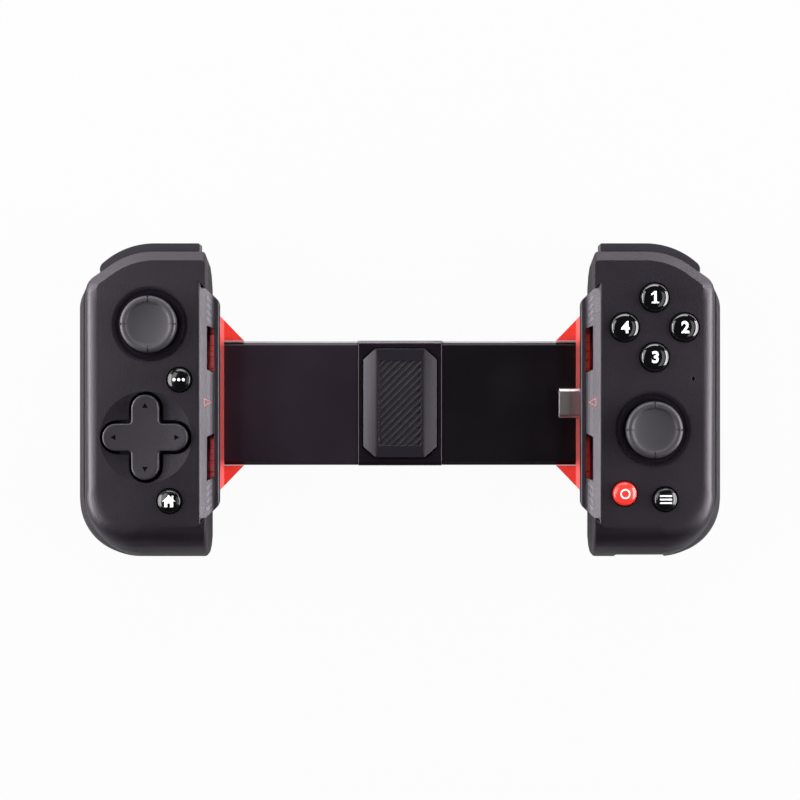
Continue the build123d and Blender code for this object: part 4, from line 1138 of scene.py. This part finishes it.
class GAMEPAD_OT_bridge(Operator):
    """Sleeves and centre covers of the telescopic bridge"""
    bl_idname = "gamepad.bridge"
    bl_label = "Bridge"

    def execute(self, context):
        cover_x, cover_y, cover_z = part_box("bridge_front_cover")[1]

        def sleeve_rim(net):
            return net.axis("Y").above(SLEEVE_RIM_Y) * net.axis("Z").above(SLEEVE_TOP - SLEEVE_RIM_DEPTH)

        def cover_rim(net):
            seam = abs(net.axis("X")).above(cover_x - COVER_SEAM)
            upper = net.axis("Y").above(cover_y - COVER_EDGE)
            return seam.maths("MAXIMUM", upper) * net.axis("Z").above(cover_z - COVER_RIM_DEPTH)

        cover = moulded_plastic("cover_plastic", settings().bridge_colour, 0.30, grain=3000.0, edge=0.25 * MM,
                                gloss=0.4, rim=cover_rim, rim_highlight_colour=COVER_RIM_HIGHLIGHT)
        for side, share, gloss in SLEEVE_PAINTED_LIGHT_AND_GLOSS:
            # painted light and shade: the left sleeve takes a lighter copy of the bridge's colour, the right
            # a darker one
            sleeve = moulded_plastic(side + "_sleeve_painted_tone", scaled(settings().bridge_colour, share), 0.34,
                                     grain=3000.0, edge=0.2 * MM, gloss=gloss, rim=sleeve_rim,
                                     rim_highlight_colour=SLEEVE_RIM_HIGHLIGHT)
            merged_moulding(side + "_bridge_sleeve", sleeve, 40.0, shape=flat_chamfer)
        for node in ("bridge_front_cover", "bridge_back_cover"):
            merged_moulding(node, cover, 40.0)
        return {"FINISHED"}


class GAMEPAD_OT_grip_pad(Operator):
    """Rubber pad with its slanted sides and grooves"""
    bl_idname = "gamepad.grip_pad"
    bl_label = "Grip pad"

    def execute(self, context):
        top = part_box("grip_pad")[1].z
        merged_moulding("grip_pad", grooved_rubber("pad_rubber", settings().pad_colour, 0.30, 1.0, top), 20.0)
        return {"FINISHED"}


# the slanted edge of a liner's wing: its inner end, and how far it runs out and up
WING_TIP = (43.5 * MM, 17.35 * MM)
WING_RUN = (7.5 * MM, 7.75 * MM)


def slanted_ends(sign):
    """Cuts the liner's ramp off along the slanted edges of its wings."""
    def cut(bm):
        for end in (1, -1):
            made = cut_across(bm, (sign * WING_TIP[0], CLAMP_Y + end * WING_TIP[1], 0),
                              (-sign * WING_RUN[1], end * WING_RUN[0], 0), clear_outer=True)
            open_edges = [item for item in made["geom_cut"] if isinstance(item, bmesh.types.BMEdge)]
            bmesh.ops.triangle_fill(bm, use_beauty=True, edges=open_edges)
        bmesh.ops.recalc_face_normals(bm, faces=bm.faces)
    return cut


class GAMEPAD_OT_liners(Operator):
    """Red liners of the phone slot"""
    bl_idname = "gamepad.liners"
    bl_label = "Liners"

    def execute(self, context):
        rubber = padded_rubber("liner_rubber", settings().accent_colour, 0.45)
        for side, sign in SIGNS.items():
            merged_moulding(side + "_phone_liner", rubber, 25.0, shape=slanted_ends(sign))
        return {"FINISHED"}


class GAMEPAD_OT_connectors(Operator):
    """Phone plug, its carrier and the charging socket"""
    bl_idname = "gamepad.connectors"
    bl_label = "Connectors"

    def execute(self, context):
        steel = brushed_metal("plug_steel", (0.52, 0.49, 0.50), 0.28, "X")
        socket = brushed_metal("socket_steel", (0.45, 0.44, 0.44), 0.30, "Y")
        carrier = moulded_plastic("carrier_plastic", settings().bridge_colour, 0.45)
        merged_moulding("usb_c_plug", steel, 40.0)
        merged_moulding("plug_carrier", carrier, 40.0)
        merged_moulding("charge_port", socket, 40.0)
        return {"FINISHED"}


def coat(node, material):
    mesh = frame["nodes"][node].data
    mesh.materials.clear()
    mesh.materials.append(material)


class GAMEPAD_OT_inner_parts(Operator):
    """Materials of the slide, gears, springs, boards and gimbals"""
    bl_idname = "gamepad.inner_parts"
    bl_label = "Inner parts"

    def execute(self, context):
        slide = brushed_metal("slide_metal", (0.060, 0.060, 0.065), 0.50, "X")
        gear = moulded_plastic("gear_acetal", (0.62, 0.60, 0.54), 0.35, depth=0.004 * MM, edge=0)
        steel = brushed_metal("fastener_steel", (0.50, 0.50, 0.50), 0.30, "Z")
        film = amber_film("ribbon_film", (0.42, 0.16, 0.03))
        board = board_lacquer("board_lacquer", (0.012, 0.085, 0.035), (0.03, 0.16, 0.05))
        membrane = soft_rubber("membrane_rubber", (0.36, 0.36, 0.36), 0.6)
        gimbal = moulded_plastic("gimbal_plastic", (0.04, 0.04, 0.045), 0.4, edge=0)
        coat("slide_tray", slide)
        coat("slide_cover", slide)
        coat("sync_pinion", gear)
        coat("flex_ribbon", film)
        coat("dpad_rocker", gimbal)
        for side in SIDES:
            for piece, material in (("rack", gear), ("return_spring", steel), ("screws", steel),
                                    ("trigger_pin", steel), ("circuit_board", board),
                                    ("button_membrane", membrane), ("stick_base", gimbal),
                                    ("stick_ring", gimbal), ("stick_rocker", gimbal)):
                coat(side + "_" + piece, material)
        return {"FINISHED"}


# Stage

LAMPS = (
    # name, centre in metres, height and length of the panel, brightness
    ("panel_right", (0.420, -0.01, 0.330), 0.13, 0.44, 9.5),
    ("panel_left", (-0.410, -0.01, 0.330), 0.13, 0.44, 8.5),
    ("panel_left_soft", (-0.250, 0.10, 0.400), 0.16, 0.30, 3.2),
    ("panel_right_soft", (0.240, -0.02, 0.420), 0.12, 0.30, 1.2),
    ("panel_top", (0.0, 0.380, 0.320), 0.13, 0.42, 6.0),
    ("low_top_right", (0.470, 0.470, 0.110), 0.20, 0.34, 7.0),
    ("low_top_left", (-0.470, 0.470, 0.110), 0.20, 0.34, 8.0),
    ("low_right", (0.600, 0.0, 0.130), 0.25, 0.60, 14.0),
    ("low_left", (-0.600, 0.0, 0.130), 0.25, 0.60, 14.0),
    ("low_top", (0.0, 0.600, 0.100), 0.18, 0.70, 5.5),
)
AIM = (0, 0, 0.02)
GROUND_HALF = 12.0
CAMERA_PLACE = (0, -0.0001, 0.640)
LENS_PIXELS = 2262
PICTURE_PIXELS = 800
SENSOR_WIDTH = 36.0


def lamp_panel(name, place, width, length, level):
    """A rectangular lamp that faces the object, its long side level."""
    data = bpy.data.lights.new(name, "AREA")
    data.shape = "RECTANGLE"
    data.size = length
    data.size_y = width
    data.energy = level * math.pi * width * length * settings().lamp_level
    lamp = bpy.data.objects.new(name, data)
    lamp.location = place
    toward = (Vector(AIM) - lamp.location).normalized()
    level_axis = toward.cross((0, 0, 1)).normalized()
    turn = Matrix((level_axis, level_axis.cross(toward), -toward)).transposed()
    lamp.rotation_euler = turn.to_euler()
    return lamp


class GAMEPAD_OT_stage(Operator):
    """Ground, lamps, surroundings and camera"""
    bl_idname = "gamepad.stage"
    bl_label = "Stage"

    def execute(self, context):
        scene = context.scene
        bm = bmesh.new()
        bmesh.ops.create_grid(bm, x_segments=1, y_segments=1, size=GROUND_HALF)
        mesh = bpy.data.meshes.new("studio_ground")
        bm.to_mesh(mesh)
        bm.free()
        mesh.materials.append(floor_paint())
        ground = bpy.data.objects.new("studio_ground", mesh)
        scene.collection.objects.link(ground)
        for row in LAMPS:
            scene.collection.objects.link(lamp_panel(*row))
        scene.world = studio_world()
        data = bpy.data.cameras.new("camera")
        data.sensor_width = SENSOR_WIDTH
        data.lens = LENS_PIXELS / PICTURE_PIXELS * SENSOR_WIDTH
        data.clip_start = 0.01
        data.clip_end = 20.0
        camera = bpy.data.objects.new("camera", data)
        camera.location = CAMERA_PLACE
        scene.collection.objects.link(camera)
        scene.camera = camera
        scene.view_settings.view_transform = "Standard"
        return {"FINISHED"}


STEPS = (
    GAMEPAD_OT_housings, GAMEPAD_OT_lip_marks, GAMEPAD_OT_sticks, GAMEPAD_OT_round_buttons,
    GAMEPAD_OT_button_marks, GAMEPAD_OT_cross_pad, GAMEPAD_OT_shoulder_keys, GAMEPAD_OT_bridge,
    GAMEPAD_OT_grip_pad, GAMEPAD_OT_liners, GAMEPAD_OT_connectors, GAMEPAD_OT_inner_parts, GAMEPAD_OT_stage,
)


class GAMEPAD_PT_panel(Panel):
    """Lists the gamepad's pieces and settings"""
    bl_idname = "GAMEPAD_PT_panel"
    bl_label = "Gamepad"
    bl_space_type = "VIEW_3D"
    bl_region_type = "UI"
    bl_category = "Gamepad"

    def draw(self, context):
        for name in GamepadSettings.__annotations__:
            self.layout.prop(context.scene.gamepad_settings, name)
        for step in STEPS:
            self.layout.operator(step.bl_idname)


CLASSES = (GamepadSettings, *STEPS, GAMEPAD_PT_panel)


def register():
    for cls in CLASSES:
        bpy.utils.register_class(cls)
    bpy.types.Scene.gamepad_settings = PointerProperty(type=GamepadSettings)


def unregister():
    del bpy.types.Scene.gamepad_settings
    for cls in reversed(CLASSES):
        bpy.utils.unregister_class(cls)


def main():
    register()
    for step in STEPS:
        group, name = step.bl_idname.split(".")
        getattr(getattr(bpy.ops, group), name)()


if __name__ == "__main__":
    main()
